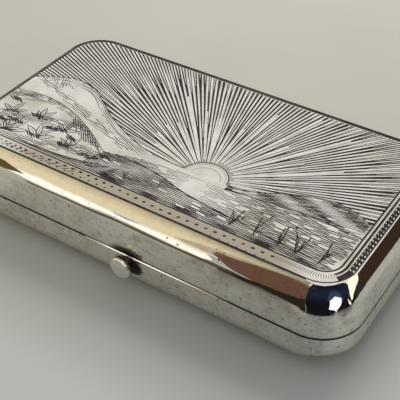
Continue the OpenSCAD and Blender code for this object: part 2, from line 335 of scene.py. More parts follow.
@dataclass(frozen=True)
class EngravedGround(Finish):
    """Sterling silver stoned flat before engraving, so it is whiter and softer than the polished shoulder."""

    silver: str = "#f6f3ee"
    shaded: str = "#d2ccc0"
    front_band_colour: str = "#bcb3a1"
    satin: float = 0.30

    def shade(self, tree: bpy.types.NodeTree) -> bpy.types.Node:
        """Adds the nodes of the stoned ground.

        Args:
            tree: The material's tree.

        Returns:
            The shader node.
        """
        vector = self.millimetres(tree)
        clouds = add_node(tree, "ShaderNodeTexNoise", {"Vector": vector, "Scale": 0.08, "Detail": 4.0, "Roughness": 0.6})
        grain = add_node(tree, "ShaderNodeTexNoise", {"Vector": vector, "Scale": 2.2, "Detail": 3.0, "Roughness": 0.6})
        # Stoning marks are 0.05 mm apart in the silver, and drawn as coarse as they need to show
        lines = add_node(tree, "ShaderNodeMath", {
            0: self.scratches(tree, 12, 0.3), 1: self.scratches(tree, 71, 0.45)}, operation="MAXIMUM")
        faint = add_node(tree, "ShaderNodeMath", {0: lines, 1: 0.6}, operation="MULTIPLY")
        tone = add_node(tree, "ShaderNodeMapRange", {0: clouds, 1: 0.35, 2: 0.7}, **SMOOTH)
        tone = add_node(tree, "ShaderNodeMath", {0: tone, 1: faint}, operation="MAXIMUM")
        colour = add_node(tree, "ShaderNodeMix", {0: tone, 6: linear(self.silver), 7: linear(self.shaded)}, data_type="RGBA")
        # The border's ground along the front is darker, fading out towards both ends
        place = add_node(tree, "ShaderNodeSeparateXYZ", {"Vector": vector})
        dull = add_node(tree, "ShaderNodeMapRange", {0: place.outputs["Y"], 1: -19.75, 2: -19.6, 3: 1.0, 4: 0.0})
        for low, high in ((-40, -20), (39, 31)):
            along = add_node(tree, "ShaderNodeMapRange", {0: place.outputs["X"], 1: low, 2: high}, **SMOOTH)
            dull = add_node(tree, "ShaderNodeMath", {0: dull, 1: along}, operation="MULTIPLY")
        colour = add_node(tree, "ShaderNodeMix", {0: dull, 6: colour.outputs[2], 7: linear(self.front_band_colour)}, data_type="RGBA")
        rough = add_node(tree, "ShaderNodeMapRange", {0: grain, 1: 0.3, 2: 0.7, 3: self.satin - 0.05, 4: self.satin + 0.1})
        relief = add_node(tree, "ShaderNodeMath", {0: lines, 1: 0.05, 2: clouds}, operation="MULTIPLY_ADD")
        relief = add_node(tree, "ShaderNodeBump", {"Height": relief, "Strength": 0.2, "Distance": 0.05 * MM})
        return add_node(tree, "ShaderNodeBsdfPrincipled", {
            "Base Color": colour.outputs[2], "Metallic": 1.0, "Roughness": rough, "Normal": relief})


@dataclass(frozen=True)
class OxidisedSilver(Finish):
    """Silver darkened by sulphide in the graver's cuts, which gives the drawing its black."""

    dark: str = "#1f1c1a"
    lighter: str = "#474340"

    def shade(self, tree: bpy.types.NodeTree) -> bpy.types.Node:
        """Adds the nodes of the dark cuts.

        Args:
            tree: The material's tree.

        Returns:
            The shader node.
        """
        noise = add_node(tree, "ShaderNodeTexNoise", {
            "Vector": self.millimetres(tree), "Scale": 0.35, "Detail": 4.0, "Roughness": 0.65})
        tone = add_node(tree, "ShaderNodeMapRange", {0: noise, 1: 0.35, 2: 0.7}, **SMOOTH)
        colour = add_node(tree, "ShaderNodeMix", {0: tone, 6: linear(self.dark), 7: linear(self.lighter)}, data_type="RGBA")
        rough = add_node(tree, "ShaderNodeMapRange", {0: noise, 1: 0.3, 2: 0.7, 3: 0.42, 4: 0.58})
        return add_node(tree, "ShaderNodeBsdfPrincipled", {
            "Base Color": colour.outputs[2], "Metallic": 0.6, "Roughness": rough})


@dataclass(frozen=True)
class PlainMetal(Finish):
    """A fitting's metal, filed and rubbed bright, with soft clouds of wear and fine scratches in one direction."""

    metal: str = "#d9d4c6"
    worn: str = "#a59c88"
    rough: float = 0.24
    grain: float = 0.4
    turn: float = 0.0

    def shade(self, tree: bpy.types.NodeTree) -> bpy.types.Node:
        """Adds the nodes of a fitting's metal.

        Args:
            tree: The material's tree.

        Returns:
            The shader node.
        """
        clouds = add_node(tree, "ShaderNodeTexNoise", {
            "Vector": self.millimetres(tree), "Scale": 0.3, "Detail": 5.0, "Roughness": 0.6})
        lines = self.scratches(tree, self.turn, self.grain)
        tone = add_node(tree, "ShaderNodeMapRange", {0: clouds, 1: 0.38, 2: 0.68}, **SMOOTH)
        colour = add_node(tree, "ShaderNodeMix", {0: tone, 6: linear(self.metal), 7: linear(self.worn)}, data_type="RGBA")
        rough = add_node(tree, "ShaderNodeMapRange", {0: clouds, 1: 0.3, 2: 0.7, 3: self.rough - 0.04, 4: self.rough + 0.08})
        rough = add_node(tree, "ShaderNodeMath", {0: lines, 1: 0.08, 2: rough}, operation="MULTIPLY_ADD")
        relief = add_node(tree, "ShaderNodeBump", {"Height": lines, "Strength": 0.15, "Distance": 0.01 * MM})
        return add_node(tree, "ShaderNodeBsdfPrincipled", {
            "Base Color": colour.outputs[2], "Metallic": 1.0, "Roughness": rough, "Normal": relief})


@dataclass(frozen=True)
class TableTop(Finish):
    """The pale matt floor, with a cooler tint painted towards the front as the cool light there."""

    colour: str = "#bcbbae"
    shade_colour: str = "#afaea5"
    painted_cool_light_colour: str = "#babdb7"

    def shade(self, tree: bpy.types.NodeTree) -> bpy.types.Node:
        """Adds the floor's nodes.

        Args:
            tree: The material's tree.

        Returns:
            The shader node.
        """
        noise = add_node(tree, "ShaderNodeTexNoise", {
            "Vector": self.millimetres(tree), "Scale": 0.02, "Detail": 3.0, "Roughness": 0.5})
        tone = add_node(tree, "ShaderNodeMapRange", {0: noise, 1: 0.3, 2: 0.7, 4: 0.35}, **SMOOTH)
        colour = add_node(tree, "ShaderNodeMix", {
            0: tone, 6: linear(self.colour), 7: linear(self.shade_colour)}, data_type="RGBA")
        # Painted light: the floor turns cooler towards the front, as under a cool fill light
        place = add_node(tree, "ShaderNodeSeparateXYZ", {"Vector": self.millimetres(tree, turn=-34)})
        near = add_node(tree, "ShaderNodeMapRange", {0: place.outputs["Y"], 1: 20, 2: -60}, **SMOOTH)
        colour = add_node(tree, "ShaderNodeMix", {
            0: near, 6: colour.outputs[2], 7: linear(self.painted_cool_light_colour)}, data_type="RGBA")
        return add_node(tree, "ShaderNodeBsdfPrincipled", {"Base Color": colour.outputs[2], "Roughness": 0.6})


@dataclass(frozen=True)
class Glow(Finish):
    """A card that the silver reflects, which can fade to a second colour by the mesh's core attribute."""

    colour: str = "#ffffff"
    strength: float = 1.0
    second: str = ""

    def shade(self, tree: bpy.types.NodeTree) -> bpy.types.Node:
        """Adds the card's emission.

        Args:
            tree: The material's tree.

        Returns:
            The shader node.
        """
        bright = tuple(c * self.strength for c in linear(self.colour)[:3]) + (1.0,)
        if not self.second:
            return add_node(tree, "ShaderNodeEmission", {"Color": bright})
        core = add_node(tree, "ShaderNodeAttribute", attribute_name="core")
        mixed = add_node(tree, "ShaderNodeMix", {
            0: core.outputs["Fac"], 6: linear(self.second), 7: bright}, data_type="RGBA")
        return add_node(tree, "ShaderNodeEmission", {"Color": mixed.outputs[2]})


# Raised and polished, dirty where the thumb nick and the seam hold old polish, with painted shade in the nick and along
# the seam
OUTER_LID = SterlingSilver("sterling_silver_polished", DirtAndShadeOval((0.2, 9.4), (4.9, 2.0), 0.45, 0.94), dirty_rim=9.32)
# Raised, then rubbed dull by the palm, with the button head's shadow and dark reflection painted black on the wall
# round it
OUTER_BASE = SterlingSilver("sterling_silver_worn", DirtAndShadeOval((0.6, 6.4), (3.7, 2.4), 0.8, 0.96), bright_above=60.0)
# Tarnished inside the seam, and painted almost black as the shade in the seam
SEAM_TARNISH_AND_SHADE = PlainMetal("sterling_silver_seam_tarnish_and_shade", metal="#4d463b", worn="#2a2621", rough=0.45)
# Stoned flat, a soft white ground for the drawing
GROUND = EngravedGround("sterling_silver_stoned")
DARK_CUT = OxidisedSilver("oxidised_silver")
# Cut by a polished graver, so it flashes next to the black
BRIGHT_CUT = PlainMetal("sterling_silver_bright_cut", metal="#f8f5f0", worn="#e2ddd4", rough=0.26)
# Fire gilt inside, a soft yellow sheen with scratches from the snuff spoon
GILT = PlainMetal("silver_gilt", metal="#e8c27a", worn="#cdb98d", rough=0.26, grain=0.5, turn=15)
# Gilding rubbed thin by the lid, browner and duller
BEZEL_GILT = PlainMetal("silver_gilt_worn", metal="#b08f52", worn="#6d5a38", rough=0.32, grain=0.5, turn=15)
# Turned and never polished again, a dull ring behind the button, painted dark as the shade under the button's head
COLLAR_WITH_PAINTED_SHADE = PlainMetal("sterling_silver_dull_painted_shade", metal="#7d7668", worn="#37322b", rough=0.3)
# Drawn tube and sheet, filed satin
FITTING = PlainMetal("sterling_silver_satin", metal="#d6d1c3", worn="#a39a85", rough=0.28)
# Polished by fingertips, the brightest edge of the box
BUTTON_SILVER = PlainMetal("sterling_silver_bright", metal="#f7f5ef", worn="#dfdace", rough=0.14, grain=0.3)
# Hard rolled brass, dull yellow with rolling marks along it
BRASS = PlainMetal("hard_brass", metal="#d3ad62", worn="#9b8350", rough=0.3)
# Drawn steel wire, grey and smooth
STEEL = PlainMetal("drawn_steel", metal="#b0aca4", worn="#7e776b", rough=0.3)


# Meshes

@dataclass
class MeshDraft:
    """Points and faces in millimetres, with a finish for each face."""

    points: list[Point3] = field(default_factory=list)
    faces: list[list[int]] = field(default_factory=list)
    finishes: list[Finish] = field(default_factory=list)

    def add(self, points: Iterable[Point3]) -> list[int]:
        """Adds points.

        Args:
            points: Their places in millimetres.

        Returns:
            Their numbers.
        """
        first = len(self.points)
        self.points.extend(points)
        return list(range(first, len(self.points)))

    def face(self, numbers: Sequence[int], finish: Finish) -> None:
        """Adds one face, leaving out repeated corners.

        Args:
            numbers: Its corners.
            finish: Its finish.
        """
        kept = [n for i, n in enumerate(numbers) if n != numbers[i - 1]]
        if len(kept) > 2:
            self.faces.append(kept)
            self.finishes.append(finish)

    def build(self, name: str, sharp: float = 28) -> bpy.types.Object:
        """Makes the object, smooth but for edges sharper than an angle.

        Args:
            name: The object's name.
            sharp: The angle in degrees.

        Returns:
            The object, in the scene.
        """
        mesh = bpy.data.meshes.new(name)
        mesh.from_pydata([tuple(c * MM for c in p) for p in self.points], [], self.faces)
        kinds = list(dict.fromkeys(self.finishes))
        for kind in kinds:
            mesh.materials.append(kind.material())
        mesh.polygons.foreach_set("material_index", [kinds.index(f) for f in self.finishes])
        return place_mesh(name, mesh, sharp)


def place_mesh(name: str, mesh: bpy.types.Mesh, sharp: float = 28) -> bpy.types.Object:
    """Puts a mesh in the scene, shaded smooth up to an angle.

    Args:
        name: The object's name.
        mesh: The mesh, in metres.
        sharp: The angle in degrees from which an edge stays sharp.

    Returns:
        The object.
    """
    mesh.validate()
    mesh.polygons.foreach_set("use_smooth", [True] * len(mesh.polygons))
    mesh.set_sharp_from_angle(angle=math.radians(sharp))
    made = bpy.data.objects.new(name, mesh)
    bpy.context.scene.collection.objects.link(made)
    return made


def lathe(profile: Sequence[Point], along: Vector, start: Vector, finish: Finish, name: str,
          steps: int = 64) -> bpy.types.Object:
    """Turns a profile round an axis.

    Args:
        profile: Distance along the axis and radius of each point, in millimetres.
        along: The axis.
        start: The axis's zero point.
        finish: The finish.
        name: The object's name.
        steps: How many sides the round has.

    Returns:
        The closed object.
    """
    draft = MeshDraft()
    side = along.orthogonal().normalized()
    other = along.cross(side)
    rows = []
    for distance, radius in profile:
        centre = start + along * distance
        if radius < 1e-6:
            rows.append(draft.add([tuple(centre)]) * steps)
        else:
            rows.append(draft.add(
                tuple(centre + (side * math.cos(t) + other * math.sin(t)) * radius)
                for t in (2 * math.pi * i / steps for i in range(steps))
            ))
    for row, following in zip(rows, rows[1:]):
        for i in range(steps):
            j = (i + 1) % steps
            draft.face([row[i], row[j], following[j], following[i]], finish)
    made = draft.build(name)
    outwards(made)
    return made


def outwards(thing: bpy.types.Object) -> None:
    """Turns all faces of a closed mesh outwards."""
    work = bmesh.new()
    work.from_mesh(thing.data)
    bmesh.ops.recalc_face_normals(work, faces=work.faces)
    work.to_mesh(thing.data)
    work.free()


def finished(piece: bpy.types.Object, body: Body, slot: Slot, *nodes: str) -> bpy.types.Object:
    """Makes a piece ride on its body, in place of CAD nodes.

    Args:
        piece: The piece.
        body: The body it rides on.
        slot: The record's material slot; not used.
        nodes: The nodes it replaces.

    Returns:
        The same piece.
    """
    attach(piece, body.value)
    if nodes:
        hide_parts(*nodes)
    return piece


def softened(node: str, finish: Finish, body: Body, slot: Slot, edge: float = 0.05) -> bpy.types.Object:
    """A CAD node's copy with its edges broken, as a file leaves them.

    Args:
        node: The node's name.
        finish: The finish.
        body: The body it rides on.
        slot: The record's material slot.
        edge: The width of the broken edge in millimetres.

    Returns:
        The piece, which replaces the node.
    """
    work = bmesh.new()
    work.from_mesh(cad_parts[node].data)
    bmesh.ops.remove_doubles(work, verts=work.verts, dist=0.002 * MM)
    bmesh.ops.dissolve_limit(work, angle_limit=math.radians(0.3), verts=work.verts, edges=work.edges)
    mesh = bpy.data.meshes.new(node + "_dressed")
    work.to_mesh(mesh)
    work.free()
    mesh.materials.clear()
    mesh.materials.append(finish.material())
    mesh.polygons.foreach_set("material_index", [0] * len(mesh.polygons))
    piece = place_mesh(node + "_dressed", mesh, 40)
    bevel = piece.modifiers.new("broken_edge", "BEVEL")
    bevel.width = edge * MM
    bevel.segments = 2
    bevel.limit_method = "ANGLE"
    bevel.angle_limit = math.radians(40)
    bevel.harden_normals = True
    bevel.use_clamp_overlap = True
    return finished(piece, body, slot, node)


# Geometry Nodes

class GeometryTree(ABC):
    """A Geometry Nodes tree that is built once and grows meshes."""

    title = ""
    sizes: dict[str, str] = {}

    def __init__(self) -> None:
        """Builds the tree with its named inputs."""
        self.tree = bpy.data.node_groups.new(self.title, "GeometryNodeTree")
        face = self.tree.interface
        self.inputs = {"Geometry": face.new_socket("Geometry", in_out="INPUT", socket_type="NodeSocketGeometry")}
        for name, kind in self.sizes.items():
            self.inputs[name] = face.new_socket(name, in_out="INPUT", socket_type="NodeSocket" + kind)
        self.inputs["Finish"] = face.new_socket("Finish", in_out="INPUT", socket_type="NodeSocketMaterial")
        face.new_socket("Geometry", in_out="OUTPUT", socket_type="NodeSocketGeometry")
        first = add_node(self.tree, "NodeGroupInput")
        grown = self.grow(first.outputs)
        real = add_node(self.tree, "GeometryNodeRealizeInstances", {0: grown})
        painted = add_node(self.tree, "GeometryNodeSetMaterial", {0: real.outputs[0], "Material": first.outputs["Finish"]})
        add_node(self.tree, "NodeGroupOutput", {0: painted.outputs[0]})

    @abstractmethod
    def grow(self, given: Any) -> bpy.types.NodeSocket:
        """Adds the tree's own nodes and returns the grown geometry's output."""

    def make(self, name: str, source: bpy.types.Mesh, finish: Finish, sharp: float = 28,
             **sizes: float) -> bpy.types.Object:
        """Grows one plain mesh.

        Args:
            name: The piece's name.
            source: The mesh that the tree starts from.
            finish: The finish.
            sharp: The angle in degrees from which an edge stays sharp.
            sizes: A value for each named input, with underscores for spaces.

        Returns:
            The piece, in the scene.
        """
        start = bpy.data.objects.new(name + "_source", source)
        bpy.context.scene.collection.objects.link(start)
        modifier = start.modifiers.new("grow", "NODES")
        modifier.node_group = self.tree
        modifier[self.inputs["Finish"].identifier] = finish.material()
        for key, value in sizes.items():
            modifier[self.inputs[key.replace("_", " ")].identifier] = value
        graph = bpy.context.evaluated_depsgraph_get()
        mesh = bpy.data.meshes.new_from_object(start.evaluated_get(graph), depsgraph=graph)
        start.modifiers.remove(modifier)
        bpy.data.objects.remove(start)
        mesh.name = name
        return place_mesh(name, mesh, sharp)


class GraverCut(GeometryTree):
    """Dark cuts along lines: a low ridge of oxide whose width follows the line's own half_width."""

    title = "graver_cut"
    sizes = {"Rise": "Float"}

    def grow(self, given: Any) -> bpy.types.NodeSocket:
        """Sweeps a flat arch along each line.

        Args:
            given: The group's input sockets.

        Returns:
            The swept mesh.
        """
        tree = self.tree
        lines = add_node(tree, "GeometryNodeMeshToCurve", {0: given["Geometry"]})
        level = add_node(tree, "GeometryNodeSetCurveNormal", {0: lines.outputs[0]}, mode="Z_UP")
        width = add_node(tree, "GeometryNodeInputNamedAttribute", {"Name": "half_width"}, data_type="FLOAT")
        down = add_node(tree, "ShaderNodeMath", {0: given["Rise"], 1: -1.0}, operation="MULTIPLY")
        middle = add_node(tree, "ShaderNodeCombineXYZ", {"Y": down.outputs[0]})
        section = add_node(tree, "GeometryNodeCurveArc", {
            "Resolution": 3, "Start": (-1, 0, 0), "Middle": middle.outputs[0], "End": (1, 0, 0),
        }, mode="POINTS")
        return add_node(tree, "GeometryNodeCurveToMesh", {
            "Curve": level.outputs[0], "Profile Curve": section.outputs[0], "Scale": width.outputs[0],
        }).outputs[0]


class RaisedLand(GeometryTree):
    """Bright lands left standing between cut grooves: flat strips raised from the groove's floor."""

    title = "raised_land"
    sizes = {"Groove Depth": "Float"}

    def grow(self, given: Any) -> bpy.types.NodeSocket:
        """Sweeps a flat strip along each line and raises it.

        Args:
            given: The group's input sockets.

        Returns:
            The lands' mesh.
        """
        tree = self.tree
        lines = add_node(tree, "GeometryNodeMeshToCurve", {0: given["Geometry"]})
        level = add_node(tree, "GeometryNodeSetCurveNormal", {0: lines.outputs[0]}, mode="Z_UP")
        width = add_node(tree, "GeometryNodeInputNamedAttribute", {"Name": "half_width"}, data_type="FLOAT")
        section = add_node(tree, "GeometryNodeCurvePrimitiveLine", {"Start": (-1, 0, 0), "End": (1, 0, 0)})
        strip = add_node(tree, "GeometryNodeCurveToMesh", {
            "Curve": level.outputs[0], "Profile Curve": section.outputs[0], "Scale": width.outputs[0],
        })
        return add_node(tree, "GeometryNodeExtrudeMesh", {
            "Mesh": strip.outputs[0], "Offset": (0, 0, 1), "Offset Scale": given["Groove Depth"], "Individual": False,
        }, mode="FACES").outputs["Mesh"]


class PunchedRow(GeometryTree):
    """A row of punch marks or milled beads along a line."""

    title = "punched_row"
    sizes = {"Spacing": "Float", "Mark Length": "Float", "Mark Width": "Float", "Mark Height": "Float",
             "Turn": "Float", "Sides": "Int", "Seed": "Int"}

    def grow(self, given: Any) -> bpy.types.NodeSocket:
        """Sets a low dome at each step of the line, turned against it.

        Args:
            given: The group's input sockets.

        Returns:
            The marks, as instances.
        """
        tree = self.tree
        lines = add_node(tree, "GeometryNodeMeshToCurve", {0: given["Geometry"]})
        points = add_node(tree, "GeometryNodeCurveToPoints", {"Curve": lines.outputs[0], "Length": given["Spacing"]},
                          mode="LENGTH")
        ahead = add_node(tree, "FunctionNodeAlignRotationToVector", {"Vector": points.outputs["Tangent"]},
                         axis="X", pivot_axis="Z")
        turned = add_node(tree, "ShaderNodeCombineXYZ", {"Z": given["Turn"]})
        turned = add_node(tree, "FunctionNodeRotateRotation", {
            "Rotation": ahead.outputs[0], "Rotate By": turned.outputs[0]}, rotation_space="LOCAL")
        dot = add_node(tree, "GeometryNodeMeshCircle", {"Vertices": given["Sides"], "Radius": 0.5}, fill_type="NGON")
        raised = add_node(tree, "GeometryNodeExtrudeMesh", {
            "Mesh": dot.outputs[0], "Offset": (0, 0, 1), "Offset Scale": 1.0, "Individual": False}, mode="FACES")
        dome = add_node(tree, "GeometryNodeScaleElements", {
            "Geometry": raised.outputs["Mesh"], "Selection": raised.outputs["Top"], "Scale": 0.55})
        uneven = add_node(tree, "FunctionNodeRandomValue", {2: 0.82, 3: 1.15, "Seed": given["Seed"]}, data_type="FLOAT")
        size = add_node(tree, "ShaderNodeCombineXYZ", {
            "X": given["Mark Length"], "Y": given["Mark Width"], "Z": given["Mark Height"]})
        size = add_node(tree, "ShaderNodeVectorMath", {0: size.outputs[0], "Scale": uneven.outputs[1]}, operation="SCALE")
        return add_node(tree, "GeometryNodeInstanceOnPoints", {
            "Points": points.outputs["Points"], "Instance": dome.outputs[0], "Rotation": turned.outputs[0],
            "Scale": size.outputs[0]}).outputs[0]


class TubeRow(GeometryTree):
    """Hinge tubes in a row along X, with their ends broken."""

    title = "tube_row"
    sizes = {"Tube Radius": "Float", "Bore Radius": "Float", "Tube Length": "Float", "Broken Edge": "Float"}

    def grow(self, given: Any) -> bpy.types.NodeSocket:
        """Sweeps the wall's section round each of the source's points.

        Args:
            given: The group's input sockets.

        Returns:
            The tubes, as instances.
        """
        tree = self.tree
        both = add_node(tree, "ShaderNodeMath", {0: given["Tube Radius"], 1: given["Bore Radius"]}, operation="ADD")
        middle = add_node(tree, "ShaderNodeMath", {0: both.outputs[0], 1: 0.5}, operation="MULTIPLY")
        wall = add_node(tree, "ShaderNodeMath", {0: given["Tube Radius"], 1: given["Bore Radius"]}, operation="SUBTRACT")
        ring = add_node(tree, "GeometryNodeCurvePrimitiveCircle", {"Resolution": 48, "Radius": middle.outputs[0]},
                        mode="RADIUS")
        section = add_node(tree, "GeometryNodeCurvePrimitiveQuadrilateral", {
            "Width": wall.outputs[0], "Height": given["Tube Length"]}, mode="RECTANGLE")
        section = add_node(tree, "GeometryNodeFilletCurve", {
            "Curve": section.outputs[0], "Count": 2, "Radius": given["Broken Edge"]}, mode="POLY")
        tube = add_node(tree, "GeometryNodeCurveToMesh", {
            "Curve": ring.outputs[0], "Profile Curve": section.outputs[0], "Scale": 1.0})
        lying = add_node(tree, "GeometryNodeTransform", {"Geometry": tube.outputs[0], "Rotation": (0, math.pi / 2, 0)})
        return add_node(tree, "GeometryNodeInstanceOnPoints", {
            "Points": given["Geometry"], "Instance": lying.outputs[0]}).outputs[0]


# The two shells

@dataclass(frozen=True)
class BoxSizes:
    """The box's main sizes in millimetres, as in the frame."""

    corner_x: float = 38.25
    corner_y: float = 16.0
    corner_radius: float = 9.0
    base_depth: float = 8.9
    seam_gap: float = 0.15
    total_height: float = 20.9
    lid_wall: float = 0.8
    base_wall: float = 0.92
    shoulder_radius: float = 5.0
    shoulder_inset: float = 2.43
    bottom_radius: float = 5.6
    axis_y: float = 24.2
    axis_z: float = 8.975
    channel_radius: float = 1.28
    channel_half: float = 36.1
    bevel: float = 53.0
    bevel_start: float = 24.1435
    button_z: float = 6.9
    crease: float = 6.57
    top_drop: float = 0.02
    back_fullness: float = 1.0

    @property
    def lid_foot(self) -> float:
        """The height of the lid's rim."""
        return self.base_depth + self.seam_gap

    @property
    def shoulder_z(self) -> float:
        """The height of the shoulder arc's centre."""
        side = self.shoulder_radius - self.shoulder_inset
        return self.total_height - math.sqrt(self.shoulder_radius ** 2 - side ** 2)

    @property
    def top(self) -> float:
        """The height of the engraved face, a hair under the frame's, so that the cuts end level with it."""
        return self.total_height - self.top_drop

    def fuller(self, dx: float, dy: float) -> float:
        """How much farther out the crease lies towards a direction: back and left have a tighter shoulder."""
        share = min(1.0, max(0.0, 0.5 + (dy - dx) / 2))
        return self.back_fullness * share * share * (3 - 2 * share)

    def hinge_rise(self, x: float, y: float) -> float:
        """How far the bevel and the barrel's channel stand off the hinge axis.

        Args:
            x: The place along the box.
            y: The place across it.

        Returns:
            The height above the axis, the same below it, or a negative number where nothing is cut.
        """
        rise = (y - self.bevel_start) * math.tan(math.radians(self.bevel))
        off = y - self.axis_y
        if abs(x) < self.channel_half and abs(off) < self.channel_radius:
            rise = max(rise, math.sqrt(self.channel_radius ** 2 - off * off))
        return rise


SIZES = BoxSizes()


@dataclass
class ShellSweep:
    """Carries a half section round the box's four corners."""

    sizes: BoxSizes
    front_stops: Sequence[float]
    corner_steps: int = 28

    def stations(self) -> list[tuple[float, float, float, float]]:
        """The places round the box, with the direction outwards at each.

        Returns:
            X and Y of the corner axis or straight line, then X and Y of the direction.
        """
        cx, cy = self.sizes.corner_x, self.sizes.corner_y
        inner = self.sizes.channel_half - 0.002
        back = [self.sizes.channel_half, inner, inner - 12, 0, 12 - inner, -inner, -self.sizes.channel_half]
        found: list[tuple[float, float, float, float]] = []
        for px, py, start in ((cx, cy, 0), (-cx, cy, 90), (-cx, -cy, 180), (cx, -cy, 270)):
            for i in range(self.corner_steps + 1):
                a = math.radians(start + 90 * i / self.corner_steps)
                found.append((px, py, math.cos(a), math.sin(a)))
            if start == 0:
                found.extend((x, cy, 0.0, 1.0) for x in back)
            if start == 180:
                found.extend((x, -cy, 0.0, -1.0) for x in self.front_stops)
        return found

    def carry(self, draft: MeshDraft, rows: Sequence[tuple[float, float, Finish]],
              shift: Callable[[float, float, float], float],
              swell: Callable[[float, float, float], float] = lambda dx, dy, z: 0.0) -> list[list[int]]:
        """Adds the swept faces.

        Args:
            draft: The mesh that gets them.
            rows: Distance from the corner axis, height and finish of the strip that follows, for each row.
            shift: Gives a point's height from its X, Y and height.
            swell: Gives how much farther out a point lies, from its direction and height.

        Returns:
            The point numbers of each row.
        """
        stations = self.stations()
        made = []
        for radius, height, _ in rows:
            outs = [radius + swell(dx, dy, height) for _, _, dx, dy in stations]
            places = [(px + out * dx, py + out * dy) for out, (px, py, dx, dy) in zip(outs, stations)]
            made.append(draft.add((x, y, shift(x, y, height)) for x, y in places))
        count = len(stations)
        for (row, following), (_, _, finish) in zip(zip(made, made[1:]), rows):
            for i in range(count):
                j = (i + 1) % count
                draft.face([row[i], following[i], following[j], row[j]], finish)
        return made


def arc_rows(centre: Point, radius: float, start: float, end: float, steps: int,
             finish: Finish) -> list[tuple[float, float, Finish]]:
    """Rows of a section along an arc.

    Args:
        centre: The arc's centre.
        radius: Its radius.
        start: Its first angle in degrees.
        end: Its last angle.
        steps: How many parts it has.
        finish: The finish of its strips.

    Returns:
        The rows, from the first angle to the last.
    """
    angles = [math.radians(start + (end - start) * i / steps) for i in range(steps + 1)]
    return [(centre[0] + radius * math.cos(a), centre[1] + radius * math.sin(a), finish) for a in angles]


@dataclass
class LidShell:
    """The raised lid: flat top, shoulder, straight wall, thumb nick and bevelled back rim."""

    sizes: BoxSizes = SIZES
    nick_width: float = 8.5
    nick_height: float = 0.55
    nick_shift: float = 0.7
    rim_round: float = 0.12
    crease_round: float = 0.2

    def nick(self, x: float) -> float:
        """How far the thumb nick lifts the front rim at x."""
        radius = (self.nick_width ** 2 / 4 + self.nick_height ** 2) / (2 * self.nick_height)
        inside = radius ** 2 - (x - self.nick_shift) ** 2
        lift = self.nick_height - radius + math.sqrt(inside) if inside > 0 else 0
        # The edge has been worn a little uneven by thumbs
        return max(0.0, lift) * (1 + 0.05 * math.sin(2.3 * x) + 0.03 * math.sin(5.1 * x + 1))

    def lifted(self, x: float, y: float, z: float) -> float:
        """Raises the rim for the nick at the front, and for the bevel and channel at the back.

        Args:
            x: The point's X.
            y: Its Y.
            z: Its height on the plain section.

        Returns:
            Its height on the cut lid.
        """
        foot = self.sizes.lid_foot
        if y < -self.sizes.corner_y and z < foot + 0.2:
            return z + self.nick(x)
        if y > self.sizes.corner_y:
            return max(z, self.sizes.axis_z + self.sizes.hinge_rise(x, y))
        return z

    def swelled(self, dx: float, dy: float, z: float) -> float:
        """How much farther out the shoulder lies at a height, most at the crease and nothing at the wall."""
        share = (z - self.sizes.shoulder_z) / (self.sizes.top - self.sizes.shoulder_z)
        return self.sizes.fuller(dx, dy) * max(0.0, share) ** 2

    def outer_rows(self) -> list[tuple[float, float, Finish]]:
        """The section from the crease down the outside."""
        s, r = self.sizes, self.crease_round
        centre = (s.corner_radius - s.shoulder_radius, s.shoulder_z)
        tilt = math.degrees(math.acos((s.crease - centre[0]) / s.shoulder_radius))
        arc = arc_rows(centre, s.shoulder_radius - 0.002, tilt - math.degrees(r / s.shoulder_radius), 0, 22, OUTER_LID)
        rows = []
        for share in (0.0, 0.25, 0.5, 0.75):
            rest = share * share
            radius = (1 - share) ** 2 * (s.crease - r) + 2 * share * (1 - share) * s.crease + rest * arc[0][0]
            rows.append((radius, s.top + rest * (arc[0][1] - s.top), OUTER_LID))
        rows += arc
        rows += [(s.corner_radius, z, OUTER_LID) for z in (14.5, 12.2, 10.5)]
        return rows

    def rim_rows(self) -> list[tuple[float, float, Finish]]:
        """The section round the rim."""
        s, r = self.sizes, self.rim_round
        inner = s.corner_radius - s.lid_wall
        rows = arc_rows((s.corner_radius - r, s.lid_foot + r), r, 0, -90, 4, OUTER_LID)
        rows += [(inner + share * s.lid_wall, s.lid_foot, OUTER_LID) for share in (0.7, 0.55, 0.4, 0.27)]
        return rows + arc_rows((inner + r, s.lid_foot + r), r, -90, -180, 4, GILT)

    def inner_rows(self) -> list[tuple[float, float, Finish]]:
        """The section up the inside."""
        s = self.sizes
        centre = (s.corner_radius - s.shoulder_radius, s.shoulder_z)
        radius = s.shoulder_radius - s.lid_wall
        end = math.degrees(math.asin((s.total_height - s.lid_wall - s.shoulder_z) / radius))
        rows = [(s.corner_radius - s.lid_wall, z, GILT) for z in (10.6, 12.5)]
        return rows + arc_rows(centre, radius, 0, end, 12, GILT)

    def build(self, engraving: "LidEngraving") -> bpy.types.Object:
        """Builds and dresses the shell.

        Args:
            engraving: The engraved top, which closes the shell.

        Returns:
            The piece.
        """
        stops = [self.nick_shift + i * 0.35 for i in range(-14, 15)]
        sweep = ShellSweep(self.sizes, stops)
        draft = MeshDraft()
        outside = sweep.carry(draft, self.outer_rows(), self.lifted, self.swelled)
        rows = sweep.carry(draft, self.rim_rows() + self.inner_rows(), self.lifted)
        # Old polish has blackened the crease along the front, the left and the back
        for i, face in enumerate(draft.faces):
            x, y, z = draft.points[face[0]]
            if z > self.sizes.top - 0.07 and (x < 30 and y < self.sizes.corner_y or y > self.sizes.corner_y):
                draft.finishes[i] = DARK_CUT
        for i, (upper, lower) in enumerate(zip(outside[-1], rows[0])):
            j = (i + 1) % len(rows[0])
            draft.face([upper, lower, rows[0][j], outside[-1][j]], OUTER_LID)
        draft.face(rows[-1], GILT)
        engraving.close_top(draft, outside[0])
        return finished(draft.build("lid_shell_silver"), Body.LID, Slot.LID, "lid_shell")


